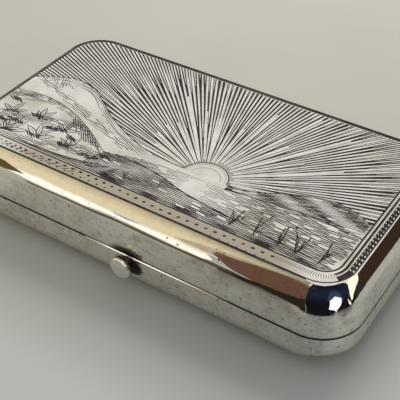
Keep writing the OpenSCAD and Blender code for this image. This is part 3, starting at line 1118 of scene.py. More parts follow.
@dataclass
class BaseShell:
    """The shallow base with its flat bottom, rounded edge, stem hole and bevelled back rim."""

    sizes: BoxSizes = SIZES
    rim_round: float = 0.12
    edge_inset: float = 0.122
    edge_rise: float = 0.2
    fresh_rise: float = 0.05
    worn_from: float = -12.0
    worn_to: float = 24.0
    stem_hole: float = 0.95
    tuck_share: float = 0.19
    tuck_start: float = 5.1
    tuck_full: float = 1.2

    def lowered(self, x: float, y: float, z: float) -> float:
        """Lowers the back rim for the bevel and the channel, and raises the front edge where it isn't worn.

        Args:
            x: The point's X.
            y: Its Y.
            z: Its height on the plain section.

        Returns:
            Its height on the cut base.
        """
        if y > self.sizes.corner_y and z > self.sizes.bottom_radius:
            return min(z, self.sizes.axis_z - self.sizes.hinge_rise(x, y))
        if abs(z - self.sizes.base_depth + self.edge_rise) < 1e-6:
            return z + (1 - self.wear(x, y)) * (self.edge_rise - self.fresh_rise)
        return z

    def wear(self, x: float, y: float) -> float:
        """How much of the full chamfer thumbs have worn on the rim, which is most right of the button."""
        if y > -self.sizes.corner_y - self.sizes.corner_radius + 0.5:
            return 0.0
        inside = min((x - self.worn_from) / 9, (self.worn_to - x) / 15)
        return min(1.0, max(0.0, inside))

    def tucked(self, dx: float, dy: float, z: float) -> float:
        """How much farther out the wall lies at a corner, below zero where hammering has drawn its foot in.

        Args:
            dx: The direction's X.
            dy: Its Y.
            z: The height on the plain section.

        Returns:
            The change of the distance from the corner axis.
        """
        s = self.sizes
        share = min(1.0, max(0.0, (self.tuck_start - z) / (self.tuck_start - self.tuck_full)))
        below = min(s.bottom_radius, max(0.0, s.bottom_radius - z))
        reach = s.corner_radius - s.bottom_radius + math.sqrt(s.bottom_radius ** 2 - below ** 2)
        return -self.tuck_share * reach * abs(2 * dx * dy) * share * share * (3 - 2 * share)

    def build(self) -> bpy.types.Object:
        """Builds and dresses the shell.

        Returns:
            The piece.
        """
        s, r = self.sizes, self.rim_round
        centre = (s.corner_radius - s.bottom_radius, s.bottom_radius)
        inner = s.corner_radius - s.base_wall
        rows = arc_rows(centre, s.bottom_radius, -90, 0, 24, OUTER_BASE)
        rows += [(s.corner_radius, 7.0, OUTER_BASE)]
        rows += [(s.corner_radius, s.base_depth - self.edge_rise, SEAM_TARNISH_AND_SHADE)]
        rows += [(s.corner_radius - self.edge_inset, s.base_depth, SEAM_TARNISH_AND_SHADE)]
        rows += [(inner + share * s.base_wall, s.base_depth, SEAM_TARNISH_AND_SHADE) for share in (0.7, 0.55, 0.4, 0.27)]
        rows += arc_rows((inner + r, s.base_depth - r), r, 90, 180, 4, GILT)
        rows += [(inner, 7.0, GILT)]
        rows += arc_rows(centre, s.bottom_radius - s.base_wall, 0, -90, 16, GILT)
        draft = MeshDraft()
        stops = [self.worn_from + i * (self.worn_to - self.worn_from) / 20 for i in range(21)]
        made = ShellSweep(s, stops).carry(draft, rows, self.lowered, self.tucked)
        edge = next(i for i, row in enumerate(rows) if row[2] is SEAM_TARNISH_AND_SHADE)
        low, high = made[edge][0], made[edge][-1]
        # Unworn parts of the rim edge keep the seam's tarnish and painted shade; worn parts are bright silver
        for i, face in enumerate(draft.faces):
            if low <= face[0] <= high:
                x, y, _ = draft.points[face[0]]
                draft.finishes[i] = BUTTON_SILVER if self.wear(x, y) > 0 else SEAM_TARNISH_AND_SHADE
        draft.face(made[0][::-1], OUTER_BASE)
        draft.face(made[-1], GILT)
        for face in draft.faces:
            face.reverse()
        shell = draft.build("base_shell_silver")
        self.bore(shell)
        return finished(shell, Body.BASE, Slot.BASE, "base_shell")

    def bore(self, shell: bpy.types.Object) -> None:
        """Cuts the stem's hole through the front wall.

        Args:
            shell: The shell that is cut.
        """
        profile = [(0, 0), (0, self.stem_hole), (3, self.stem_hole), (3, 0)]
        start = Vector((0, -self.sizes.corner_y - self.sizes.corner_radius - 1, self.sizes.button_z))
        drill = lathe(profile, Vector((0, 1, 0)), start, OUTER_BASE, "stem_drill", 40)
        cut = shell.modifiers.new("stem_hole", "BOOLEAN")
        cut.object = drill
        cut.operation = "DIFFERENCE"
        cut.solver = "EXACT"
        graph = bpy.context.evaluated_depsgraph_get()
        mesh = bpy.data.meshes.new_from_object(shell.evaluated_get(graph), depsgraph=graph)
        shell.modifiers.remove(cut)
        shell.data = mesh
        mesh.set_sharp_from_angle(angle=math.radians(28))
        bpy.data.objects.remove(drill)


# Engraving

def smooth_line(points: Sequence[Point], step: float = 0.6) -> list[Point]:
    """A smooth line through points.

    Args:
        points: The points it runs through.
        step: The distance between its own points.

    Returns:
        The line's points.
    """
    ends = [points[0], *points, points[-1]]
    line: list[Point] = []
    for a, b, c, d in zip(ends, ends[1:], ends[2:], ends[3:]):
        count = max(2, int(math.dist(b, c) / step))
        for i in range(count):
            t = i / count
            line.append(tuple(
                0.5 * (2 * q + (r - p) * t + (2 * p - 5 * q + 4 * r - s) * t * t + (3 * q - p - 3 * r + s) * t ** 3)
                for p, q, r, s in zip(a, b, c, d)
            ))
    line.append(tuple(points[-1]))
    return line


def crossings(region: Sequence[Point], start: Point, angle: float) -> list[float]:
    """Where a line meets a region's outline.

    Args:
        region: The region's corners.
        start: The line's zero point.
        angle: Its direction in radians.

    Returns:
        The distances along the line, sorted.
    """
    dx, dy = math.cos(angle), math.sin(angle)
    found = []
    for (ax, ay), (bx, by) in zip(region, [*region[1:], region[0]]):
        side_a = (ax - start[0]) * dy - (ay - start[1]) * dx
        side_b = (bx - start[0]) * dy - (by - start[1]) * dx
        if (side_a > 0) != (side_b > 0):
            t = side_a / (side_a - side_b)
            x, y = ax + t * (bx - ax), ay + t * (by - ay)
            found.append((x - start[0]) * dx + (y - start[1]) * dy)
    return sorted(found)


@dataclass
class CutLines:
    """Lines for the graver, with a half width at each point, in millimetres."""

    height: float
    points: list[Point3] = field(default_factory=list)
    widths: list[float] = field(default_factory=list)
    edges: list[tuple[int, int]] = field(default_factory=list)

    def stroke(self, points: Sequence[Point], widths: Sequence[float], lift: float = 0.0) -> None:
        """Adds one line with its own half width at each point.

        Args:
            points: Its points.
            widths: Half its width at each.
            lift: How much higher than the others it lies.
        """
        first = len(self.points)
        if len(points) < 2:
            return
        self.points.extend((x, y, self.height + lift) for x, y in points)
        self.widths.extend(widths)
        self.edges.extend((first + i, first + i + 1) for i in range(len(points) - 1))

    def line(self, points: Sequence[Point], half_width: float, taper: float = 0.7) -> None:
        """Adds one line that thins towards its ends.

        Args:
            points: Its points.
            half_width: Half its greatest width.
            taper: How much of the width the ends lose.
        """
        last = max(1, len(points) - 1)
        self.stroke(points, [half_width * (1 - taper * abs(2 * i / last - 1) ** 2.5) for i in range(len(points))])

    def mesh(self, name: str) -> bpy.types.Mesh:
        """Makes the lines' mesh.

        Args:
            name: The mesh's name.

        Returns:
            Points and edges in metres, with half_width as an attribute.
        """
        mesh = bpy.data.meshes.new(name)
        mesh.from_pydata([tuple(c * MM for c in p) for p in self.points], self.edges, [])
        widths = mesh.attributes.new("half_width", "FLOAT", "POINT")
        widths.data.foreach_set("value", [w * MM for w in self.widths])
        return mesh


@dataclass
class LidEngraving:
    """The lid's engraved face: a plain sunrise over hills and water, in a punched and milled border.

    The sunrise, hills, water and reeds are general ornament of this file's own; the border is the usual one.
    """

    sizes: BoxSizes = SIZES
    sun: Point = (8.0, -9.0)
    sun_radius: float = 5.0
    groove_depth: float = 0.06
    ray_step: float = 0.9
    land_share: float = 0.5
    thinnings: Point = (12.0, 30.0)
    border_front: float = 2.95
    border_right: float = 2.75
    seed: int = 5

    def __post_init__(self) -> None:
        """Draws the outlines of the regions."""
        self.chance = random.Random(self.seed)
        self.dark = CutLines(self.sizes.top + 0.001)
        s = self.sizes
        self.edge_x = s.corner_x + s.crease
        self.edge_y = s.corner_y + s.crease
        self.inner_x = self.edge_x - self.border_right - 0.15
        sun_x, sun_y = self.sun
        disc = [(sun_x + self.sun_radius * math.cos(a), sun_y + self.sun_radius * math.sin(a))
                for a in (math.radians(172 - 164 * i / 40) for i in range(41))]
        left = smooth_line([(-45.3, 1.2), (-40, 4.2), (-35, 5.6), (-30, 4.6), (-25, 1.4), (-20, -2.0), (-15, -4.6),
                            (-10, -6.6), (-5, -7.8), (0, -8.3), disc[0]])
        right = smooth_line([disc[-1], (16, -8.2), (20, -6.6), (25, -4.0), (30, -2.2), (34, -1.6), (38, -2.4),
                             (self.inner_x, -4.2)])
        self.horizon = left[:-1] + disc + right[1:]
        self.sky = self.horizon + self.sky_edge()

    def sky_edge(self) -> list[Point]:
        """The sky's outline from the right border over the back to the left."""
        s, inset = self.sizes, 1.1
        radius = s.crease + s.back_fullness - inset
        line = [(self.inner_x, s.corner_y - 3)]
        for i in range(1, 9):
            a = math.radians(90 * i / 8)
            line.append((s.corner_x - 2 + (self.inner_x - s.corner_x + 2) * math.cos(a),
                         s.corner_y - 3 + (radius + 3) * math.sin(a)))
        for i in range(13):
            a = math.radians(90 + 90 * i / 12)
            line.append((-s.corner_x + radius * math.cos(a), s.corner_y + radius * math.sin(a)))
        return line

    def close_top(self, draft: MeshDraft, crease: Sequence[int]) -> None:
        """Closes the lid with the stoned face and the sunken sky.

        Args:
            draft: The lid's mesh.
            crease: The numbers of the crease's points.
        """
        top, floor = self.sizes.top, self.sizes.top - self.groove_depth
        upper = draft.add((x, y, top) for x, y in self.sky)
        lower = draft.add((x, y, floor) for x, y in self.sky)
        count = len(self.sky)
        for i in range(count):
            j = (i + 1) % count
            draft.face([upper[i], upper[j], lower[j], lower[i]], DARK_CUT)
        self.fill(draft, [upper, list(crease)], GROUND)
        self.fill(draft, [lower], DARK_CUT)

    @staticmethod
    def fill(draft: MeshDraft, loops: Sequence[Sequence[int]], finish: Finish) -> None:
        """Fills the level area between outlines with triangles that face up.

        Args:
            draft: The mesh.
            loops: The outlines' point numbers.
            finish: The area's finish.
        """
        work = bmesh.new()
        names: dict[Any, int] = {}
        edges = []
        for loop in loops:
            corners = []
            for number in dict.fromkeys(loop):
                corner = work.verts.new(draft.points[number])
                names[corner] = number
                corners.append(corner)
            edges += [work.edges.new((a, b)) for a, b in zip(corners, corners[1:] + corners[:1])]
        bmesh.ops.triangle_fill(work, use_beauty=True, edges=edges)
        work.normal_update()
        for face in work.faces:
            numbers = [names[v] for v in face.verts]
            draft.face(numbers if face.normal.z > 0 else numbers[::-1], finish)
        work.free()

    def ray_lands(self) -> CutLines:
        """The bright lands between the sky's grooves, with broad bright rays over them."""
        lands = CutLines(self.sizes.top - self.groove_depth - 0.004)
        step = math.radians(self.ray_step)
        for i in range(int(210 / self.ray_step)):
            angle = math.radians(-15) + i * step
            for near, far in self.spans(angle):
                near, far = max(near - 0.25, self.sun_radius), far + 0.2
                count = max(2, int((far - near) / 1.2))
                places = [near + (far - near) * k / count for k in range(count + 1)]
                halves = [(d, 0.5 * self.land_share * step * d * self.pitches(i, d)) for d in places]
                halves = [(d, half) for d, half in halves if half > 0.02]
                lands.stroke([self.at(angle, d) for d, _ in halves], [half for _, half in halves])
        angle = -2.0
        while angle < 184:
            turn = math.radians(angle)
            for near, far in self.spans(turn)[:1]:
                start = max(near, self.sun_radius) + self.chance.uniform(0.2, 1.2)
                end = min(far - 1.5, self.chance.uniform(15, 33))
                if end > start + 4:
                    lands.stroke([self.at(turn, start), self.at(turn, (start + end) / 2), self.at(turn, end)],
                                 [0.20, 0.29, 0.27], 0.001)
            angle += self.chance.uniform(7.0, 9.5)
        return lands

    def pitches(self, number: int, distance: float) -> float:
        """How many pitches wide a land is: near the sun fewer stand, so that the grooves stay as coarse.

        Args:
            number: The land's number.
            distance: The distance from the sun's middle.

        Returns:
            Its width, 0 where it hasn't begun.
        """
        late = 3 * math.sin(2.4 * number)
        ramps = [min(1.0, max(0.0, (distance - late - start) / 11)) for start in self.thinnings]
        inner, outer = [t * t * (3 - 2 * t) for t in ramps]
        if number % 2:
            return outer
        return inner * (2 - outer) if number % 4 else (4 - 2 * inner) * (1 - outer) + outer

    def at(self, angle: float, distance: float) -> Point:
        """The point at a distance from the sun's middle."""
        return self.sun[0] + distance * math.cos(angle), self.sun[1] + distance * math.sin(angle)

    def spans(self, angle: float) -> list[Point]:
        """The stretches of a ray inside the sky."""
        found = [d for d in crossings(self.sky, self.sun, angle) if d > 0.5]
        if len(found) % 2:
            found = [self.sun_radius, *found]
        return list(zip(found[::2], found[1::2]))

    def shade_in(self, region: Sequence[Point], angle: float, apart: float, tone: Callable[[float, float], float],
                 wave: float = 0.04, gaps: float = 0.03) -> None:
        """Fills a region with strokes that swell and break with a tone.

        Args:
            region: The region's corners.
            angle: The strokes' direction in degrees.
            apart: Their distance.
            tone: Gives the stroke's half width at a place; where it is very thin, the stroke breaks off.
            wave: How far they swing to and fro.
            gaps: The chance that a stroke breaks off after each step.
        """
        turn = math.radians(angle)
        ahead, side = (math.cos(turn), math.sin(turn)), (-math.sin(turn), math.cos(turn))
        offsets = [x * side[0] + y * side[1] for x, y in region]
        place = min(offsets) + apart / 2
        while place < max(offsets):
            found = crossings(region, (side[0] * place, side[1] * place), turn)
            phase = self.chance.uniform(0, 6.28)
            for near, far in zip(found[::2], found[1::2]):
                run, widths, d = [], [], near
                while d <= far:
                    across = place + wave * math.sin(d * 1.7 + phase)
                    x, y = ahead[0] * d + side[0] * across, ahead[1] * d + side[1] * across
                    half = tone(x, y) * self.chance.uniform(0.85, 1.15)
                    if half < 0.04 or self.chance.random() < gaps:
                        self.dark.stroke(run, widths)
                        run, widths = [], []
                        d += self.chance.uniform(0.1, 0.9)
                    else:
                        run.append((x, y))
                        widths.append(half)
                    d += 0.7
                self.dark.stroke(run, widths)
            place += apart * self.chance.uniform(0.93, 1.07)

    def contours(self, line: Sequence[Point], count: int, apart: float, half_width: float) -> None:
        """Repeats a hill's outline below it, with breaks.

        Args:
            line: The outline.
            count: How many repeats there are.
            apart: Their distance.
            half_width: Half a stroke's width.
        """
        for k in range(1, count + 1):
            run: list[Point] = []
            for i, (x, y) in enumerate(line):
                run.append((x + 0.2 * k, y - apart * k * (1 + 0.1 * math.sin(0.4 * x + k))))
                if self.chance.random() < 0.14 or i == len(line) - 1:
                    self.dark.line(run, half_width * self.chance.uniform(0.7, 1.2), 0.8)
                    run = []

    def leaf(self, foot: Point, angle: float, length: float) -> None:
        """Adds a leaf's outline and midrib.

        Args:
            foot: Where it grows from.
            angle: Its direction in degrees.
            length: Its length.
        """
        turn = math.radians(angle)
        ahead, side = (math.cos(turn), math.sin(turn)), (-math.sin(turn), math.cos(turn))
        bend = self.chance.uniform(-0.14, 0.14) * length
        for edge in (-1, 1, 0):
            points = []
            for i in range(8):
                t = i / 7
                across = edge * 0.13 * length * math.sin(math.pi * t ** 0.8) + bend * t * t
                points.append((foot[0] + ahead[0] * length * t + side[0] * across,
                               foot[1] + ahead[1] * length * t + side[1] * across))
            self.dark.line(points[1:6] if edge == 0 else points, 0.12 if edge else 0.06)

    def spray(self, foot: Point, size: float, leaves: int) -> None:
        """Adds leaves that fan out from one foot, with a few dark blades between them."""
        for i in range(leaves):
            angle = 90 + (i / (leaves - 1) - 0.5) * 120 + self.chance.uniform(-6, 6)
            self.leaf(foot, angle, size * self.chance.uniform(0.8, 1.1))
        for _ in range(leaves):
            angle = math.radians(self.chance.uniform(30, 150))
            reach = size * self.chance.uniform(0.3, 0.5)
            self.dark.line([foot, (foot[0] + reach * math.cos(angle), foot[1] + reach * math.sin(angle))], 0.1)

    def brush(self, foot: Point, width: float, lean: float) -> None:
        """Adds a dark patch of slanted strokes, as undergrowth.

        Args:
            foot: Its left lower end.
            width: How far it spreads.
            lean: The strokes' direction in degrees.
        """
        for i in range(int(width / 0.34)):
            x, y = foot[0] + i * 0.34, foot[1] + self.chance.uniform(-0.3, 0.3)
            reach, turn = self.chance.uniform(1.3, 2.4), math.radians(lean + self.chance.uniform(-9, 9))
            self.dark.line([(x, y), (x + reach * math.cos(turn) / 2, y + reach * math.sin(turn) / 2 + 0.1),
                            (x + reach * math.cos(turn), y + reach * math.sin(turn))], self.chance.uniform(0.16, 0.24))

    def reeds(self, foot: Point, tall: float) -> None:
        """Adds a clump of reeds with one or two cattails."""
        x, y = foot
        for i in range(self.chance.randint(5, 7)):
            turn, reach = math.radians(self.chance.uniform(62, 118)), tall * self.chance.uniform(0.6, 1.1)
            bend = self.chance.uniform(-0.25, 0.25) * reach
            tip = (x + reach * math.cos(turn) + bend, y + reach * math.sin(turn))
            self.dark.line(smooth_line([foot, (x + 0.5 * reach * math.cos(turn), y + 0.55 * reach), tip]), 0.11)
            if i < 2:
                self.dark.line([tip, (tip[0] + 0.15 * bend, tip[1] + 1.1)], 0.24, 0.4)

    def draw_land(self) -> None:
        """Draws the hills, the water and the near bank."""
        self.dark.line(self.horizon, 0.12, 0.2)
        low_x, low_y = -self.edge_x + 0.6, -self.edge_y + self.border_front
        far_bank = smooth_line([(13.2, -9.6), (19, -8.9), (26, -8.0), (33, -7.6), (self.inner_x, -8.4)])
        right = [p for p in self.horizon if p[0] > 13.1]
        self.shade_in([*right, *far_bank[::-1]], 8, 0.36, lambda x, y: 0.105 + 0.05 * math.sin(0.5 * x + 1.3 * y), 0.05)
        self.dark.line(far_bank, 0.12, 0.2)
        shore = smooth_line([(-14, -12.6), (-7, -12.0), (0, -12.8), (8, -14.8), (18, -16.0), (28, -16.9), (36, -17.6),
                             (self.inner_x - 1.5, -18.0)])
        water = [(-14, -12.6), (-6, -10.6), (1, -9.8), (3.1, -9.6), (13.2, -9.6), *far_bank[1:],
                 (self.inner_x, -14.0), *shore[::-1]]
        # The water darkens away from the sun's path
        self.shade_in(water, 0, 0.45, lambda x, y: min(0.13, 0.028 + 0.007 * abs(x - self.sun[0])), 0.07, 0.05)
        self.dark.line(shore, 0.15, 0.3)
        bank = [*shore, (self.inner_x - 2.5, low_y + 0.15), (-8, low_y + 0.15), (-16, low_y + 1.6)]
        self.shade_in(bank, -3, 0.44, lambda x, y: 0.135 + 0.04 * math.sin(0.35 * x - 0.9 * y), 0.03, 0.02)
        slope = [p for p in self.horizon if -43 < p[0] < -3]
        near_hill = smooth_line([(low_x - 0.8, -4.5), (-39, -3.4), (-33, -3.8), (-27, -5.6), (-21, -8.4), (-14, -12.6)])
        self.dark.line(near_hill, 0.12, 0.4)
        self.contours(near_hill, 3, 0.5, 0.09)
        self.shade_in([(-44.9, -1.0), *slope[::4], (-9, -9.0), *near_hill[::-3]], -14, 0.62,
                      lambda x, y: 0.13 * max(0.0, math.sin(0.31 * x + 0.9 * y + 0.6) - 0.15), 0.12, 0.04)
        ground = [*near_hill[::3], (-14.5, low_y + 2.2), (-24, low_y + 1.2), (-40.5, low_y + 0.8), (-43.6, -16)]
        self.shade_in(ground, 3, 0.5, lambda x, y: 0.1 * max(0.0, math.sin(0.22 * x - 0.8 * y) + 0.25), 0.06, 0.05)
        self.contours(slope, 4, 0.55, 0.08)
        lower = [(x + 1.5, y - 3.4 - 0.04 * abs(x + 22)) for x, y in slope[::3]]
        self.shade_in([*slope[::3], *lower[::-1]], -62, 0.55,
                      lambda x, y: 0.10 * max(0.0, math.sin(0.33 * x + 0.5 * y)), 0.05, 0.05)
        self.shade_in([(-27, -6.0), (-20, -9.0), (-15, -12.4), (-20, -12.2), (-26, -8.6)], -48, 0.45,
                      lambda x, y: 0.12, 0.04, 0.06)
        # Ruled lines fan out of the border's left end and darken the foreground
        for k in range(8):
            self.dark.line([(-37 + 3 * k, low_y + 0.5 + 0.12 * k), (-20 + k, low_y + 0.6 + 0.34 * k),
                            (-5, low_y + 0.7 + 0.5 * k)], 0.1, 0.5)

    def draw_plants(self) -> None:
        """Draws sprays, undergrowth and reeds on the near ground."""
        for foot, size, leaves in (((-36.8, -17.4), 5.2, 5), ((-29.2, -16.0), 4.6, 4), ((-21.6, -15.4), 4.0, 4),
                                   ((-33.0, -10.4), 3.7, 4), ((-40.2, -11.6), 3.8, 3), ((-25.6, -11.4), 3.5, 3)):
            self.spray(foot, size, leaves)
            self.brush((foot[0] - 1.6, foot[1] - 0.6), 3.2, self.chance.choice((35, 140)))
        for foot, width in (((-42.5, -8.2), 3.0), ((-38.0, -14.6), 4.0), ((-30.4, -12.8), 3.6), ((-18.5, -16.2), 4.4),
                            ((-23.0, -13.2), 3.0), ((-41.5, -15.4), 2.6), ((-13.0, -14.4), 3.0)):
            self.brush(foot, width, self.chance.choice((30, 40, 145)))
        for _ in range(150):
            x, y = self.chance.uniform(-43, -12), self.chance.uniform(-18.6, -6.5)
            if y < -6 - 0.28 * max(0, x + 34):
                self.dark.line([(x, y), (x + 0.3, y + self.chance.uniform(-0.1, 0.1))], self.chance.uniform(0.06, 0.12))
        for x, tall in ((19.5, 4.2), (24.6, 5.4), (29.8, 4.6), (33.4, 5.8), (38.0, 4.8)):
            self.reeds((x, -17.6 - 0.02 * x), tall)
        x, y = self.sun
        for radius in (self.sun_radius - 0.5, self.sun_radius - 1.6):
            arc = [(x + radius * math.cos(a), y + radius * math.sin(a)) for a in
                   (math.radians(8 + 164 * i / 24) for i in range(25))]
            self.dark.line(arc, 0.05, 0.5)
        self.dark.line([(x - 4.6, y - 0.7), (x + 4.6, y - 0.7)], 0.08, 0.5)

    def border_line(self, front: float, right: float, from_x: float = -40.5, to_y: float = 19.0,
                    from_front: bool = True) -> list[Point]:
        """A line that follows the border, from the front's left end to the right side's back end.

        Args:
            front: How far it lies inside the front crease.
            right: How far it lies inside the right crease.
            from_x: Where it starts along the front.
            to_y: Where it ends along the right side.
            from_front: Whether it has its front part.

        Returns:
            Its points.
        """
        s = self.sizes
        line = []
        if from_front:
            count = int((s.corner_x - from_x) / 2)
            line = [(from_x + (s.corner_x - from_x) * i / count, -self.edge_y + front) for i in range(count)]
        for i in range(17):
            a = math.radians(-90 + 90 * i / 16)
            line.append((s.corner_x + (s.crease - right) * math.cos(a), -s.corner_y + (s.crease - front) * math.sin(a)))
        line += [(self.edge_x - right, y) for y in (-10, -5, 0, 5, 10, to_y)]
        return line

    def draw_border_lines(self) -> None:
        """Draws the border's ruled lines and the slanted strokes near its left end."""
        self.dark.line(self.border_line(2.95, 2.75), 0.2, 0.1)
        for front, half in ((3.5, 0.14), (3.95, 0.1)):
            self.dark.line(self.border_line(front, 2.9)[:-14], half, 0.3)
        end = -self.edge_y + self.border_front
        self.dark.line(smooth_line([(-40.4, end), (-42.9, end + 1.6), (-44.3, -16.4), (-45.0, -13.0)]), 0.15, 0.4)
        self.dark.line(smooth_line([(-39.4, end + 0.5), (-42.3, end + 2.0), (-43.6, -16.0), (-44.5, -13.0)]), 0.08, 0.4)
        inset = 0.16
        loop = self.border_line(inset, inset, -38.25)
        s = self.sizes
        for cx, cy, start in ((s.corner_x, s.corner_y, 0), (-s.corner_x, s.corner_y, 90), (-s.corner_x, -s.corner_y, 180)):
            for i in range(13):
                dx, dy = math.cos(math.radians(start + 7.5 * i)), math.sin(math.radians(start + 7.5 * i))
                radius = s.crease + s.fuller(dx, dy) - inset
                loop.append((cx + radius * dx, cy + radius * dy))
        self.dark.line(loop, 0.13, 0.1)
        # The shadowed lip behind the ray field
        back = []
        for i in range(40):
            dx, dy = math.cos(math.radians(60 + 3.2 * i)), math.sin(math.radians(60 + 3.2 * i))
            cx, radius = (s.corner_x if dx > 0 else -s.corner_x), s.crease + s.fuller(dx, dy) - 0.62
            back.append((cx + radius * dx, s.corner_y + radius * dy))
        self.dark.line(back + [(-self.edge_x - 0.38, y) for y in (8, 0, -8, -14)], 0.38, 0.3)
        # The black channel that the milled beads of the right side stand in, and the grey band inside it
        for right, half in ((0.76, 0.58), (1.9, 0.24)):
            self.dark.line(self.border_line(right, right, from_front=False, to_y=20.5)[9:], half, 0.1)
        front = -self.edge_y
        for i in range(12):
            x = -33 + i * 1.55
            self.dark.line(smooth_line([(x, front + 0.95), (x + 0.3, front + 1.25), (x + 0.8, front + 1.45),
                                        (x + 1.1, front + 1.85)], 0.3), 0.12, 0.4)
        for i in range(7):
            self.dark.line([(18 + 1.9 * i, front + 0.18), (18.35 + 1.9 * i, front + 0.58)], 0.13, 0.3)
        # Fine dashes round the near corner, across the band
        x = 31.0
        while x < self.sizes.corner_x:
            self.dark.line([(x, front + 1.4), (x + 0.1, front + 2.25)], 0.09, 0.5)
            x += 0.45
        for i in range(21):
            a = math.radians(-90 + 5.3 * i)
            middle = 4.75 + 0.7 * i / 20
            near, far = [(self.sizes.corner_x + r * math.cos(a), -self.sizes.corner_y + r * math.sin(a))
                         for r in (middle - 0.45, middle + 0.45)]
            self.dark.line([near, far], 0.09, 0.5)

    def strip(self, points: Sequence[Point]) -> bpy.types.Mesh:
        """A plain line's mesh for a row of marks."""
        cut = CutLines(self.sizes.top)
        cut.line(points, 1.0, 0.0)
        return cut.mesh("row")

    def build(self) -> list[bpy.types.Object]:
        """Builds all the engraved pieces.

        Returns:
            The pieces.
        """
        self.draw_land()
        self.draw_plants()
        self.draw_border_lines()
        cutter, lander, puncher = GraverCut(), RaisedLand(), PunchedRow()
        pieces = [
            cutter.make("lid_engraved_lines", self.dark.mesh("lines"), DARK_CUT, Rise=0.03),
            lander.make("lid_ray_lands", self.ray_lands().mesh("lands"), BRIGHT_CUT, Groove_Depth=self.groove_depth * MM),
        ]
        front = -self.edge_y
        side = self.border_line(1.0, 0.5, from_front=False, to_y=20.0)[15:]
        marks = (
            ("upper_dots", smooth_line([(-27.6, -20.9), (-24, -20.7), (-15, -20.42), (-8, -20.55), (0, -20.95),
                                        (8, -21.2), (15, -21.0), (22, -20.88), (30.5, -20.84)]),
             1.95, 0.8, 0.55, 0.2, DARK_CUT, 1),
            ("left_upper_dots", [(-40, front + 1.9), (-28, front + 1.9)], 1.2, 0.6, 0.5, 0.3, DARK_CUT, 6),
            ("left_lower_dots", [(-40, front + 1.0), (-27, front + 1.0)], 1.2, 0.55, 0.45, 0.3, DARK_CUT, 7),
            ("lower_dots", [(-24.8, front + 0.87), (-6.5, front + 0.87)], 1.9, 0.5, 0.4, 0.3, DARK_CUT, 2),
            ("milled_beads", side, 1.1, 0.62, 0.4, 0.6, BRIGHT_CUT, 3),
            ("milled_teeth", self.border_line(1.0, 1.08, from_front=False, to_y=20.4)[15:], 1.1, 0.62, 0.26, 0.75,
             BRIGHT_CUT, 4),
        )
        for name, line, apart, length, width, turn, finish, seed in marks:
            high = 0.006 if finish is DARK_CUT else 0.017
            pieces.append(puncher.make(
                "lid_" + name, self.strip(line), finish, Spacing=apart * MM, Mark_Length=length * MM,
                Mark_Width=width * MM, Mark_Height=high * MM, Turn=turn, Sides=8, Seed=seed))
        return [finished(p, Body.LID, Slot.LID) for p in pieces]


# Hinge

@dataclass
class HingeBarrel:
    """Five tubes on a pin, flush in the back wall, with the strips that carry them."""

    sizes: BoxSizes = SIZES
    knuckle_length: float = 14.32
    knuckle_gap: float = 0.1
    knuckle_radius: float = 1.2
    bore_radius: float = 0.53
    broken_edge: float = 0.07

    def places(self, numbers: Sequence[int]) -> bpy.types.Mesh:
        """The middles of some of the tubes.

        Args:
            numbers: The tubes' numbers, counted from the left.

        Returns:
            A mesh with one point for each.
        """
        mesh = bpy.data.meshes.new("tube_middles")
        step = self.knuckle_length + self.knuckle_gap
        points = [((n - 3) * step * MM, self.sizes.axis_y * MM, self.sizes.axis_z * MM) for n in numbers]
        mesh.from_pydata(points, [], [])
        return mesh

    def build(self) -> list[bpy.types.Object]:
        """Builds and dresses the hinge.

        Returns:
            Its pieces.
        """
        tubes = TubeRow()
        sizes = {"Tube_Radius": self.knuckle_radius * MM, "Bore_Radius": self.bore_radius * MM,
                 "Tube_Length": self.knuckle_length * MM, "Broken_Edge": self.broken_edge * MM}
        lid = tubes.make("lid_hinge_tubes", self.places((2, 4)), FITTING, **sizes)
        base = tubes.make("base_hinge_tubes", self.places((1, 3, 5)), FITTING, **sizes)
        for tube in (lid, base):
            outwards(tube)
        pieces = [
            finished(lid, Body.LID, Slot.FITTING, "lid_knuckle_left", "lid_knuckle_right"),
            finished(base, Body.BASE, Slot.FITTING, "base_knuckle_left", "base_knuckle_centre", "base_knuckle_right"),
            softened("lid_hinge_gallery", GILT, Body.LID, Slot.GILT),
            softened("base_hinge_gallery", GILT, Body.BASE, Slot.GILT),
        ]
        for node, finish in (("hinge_pin", STEEL), ("pin_plug_left", FITTING), ("pin_plug_right", FITTING)):
            dress_node(node, finish)
        return pieces


def dress_node(node: str, finish: Finish) -> None:
    """Gives a CAD node its material."""
    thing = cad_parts[node]
    if thing.material_slots:
        for slot in thing.material_slots:
            slot.material = finish.material()
    else:
        thing.data.materials.append(finish.material())


# Button and catch

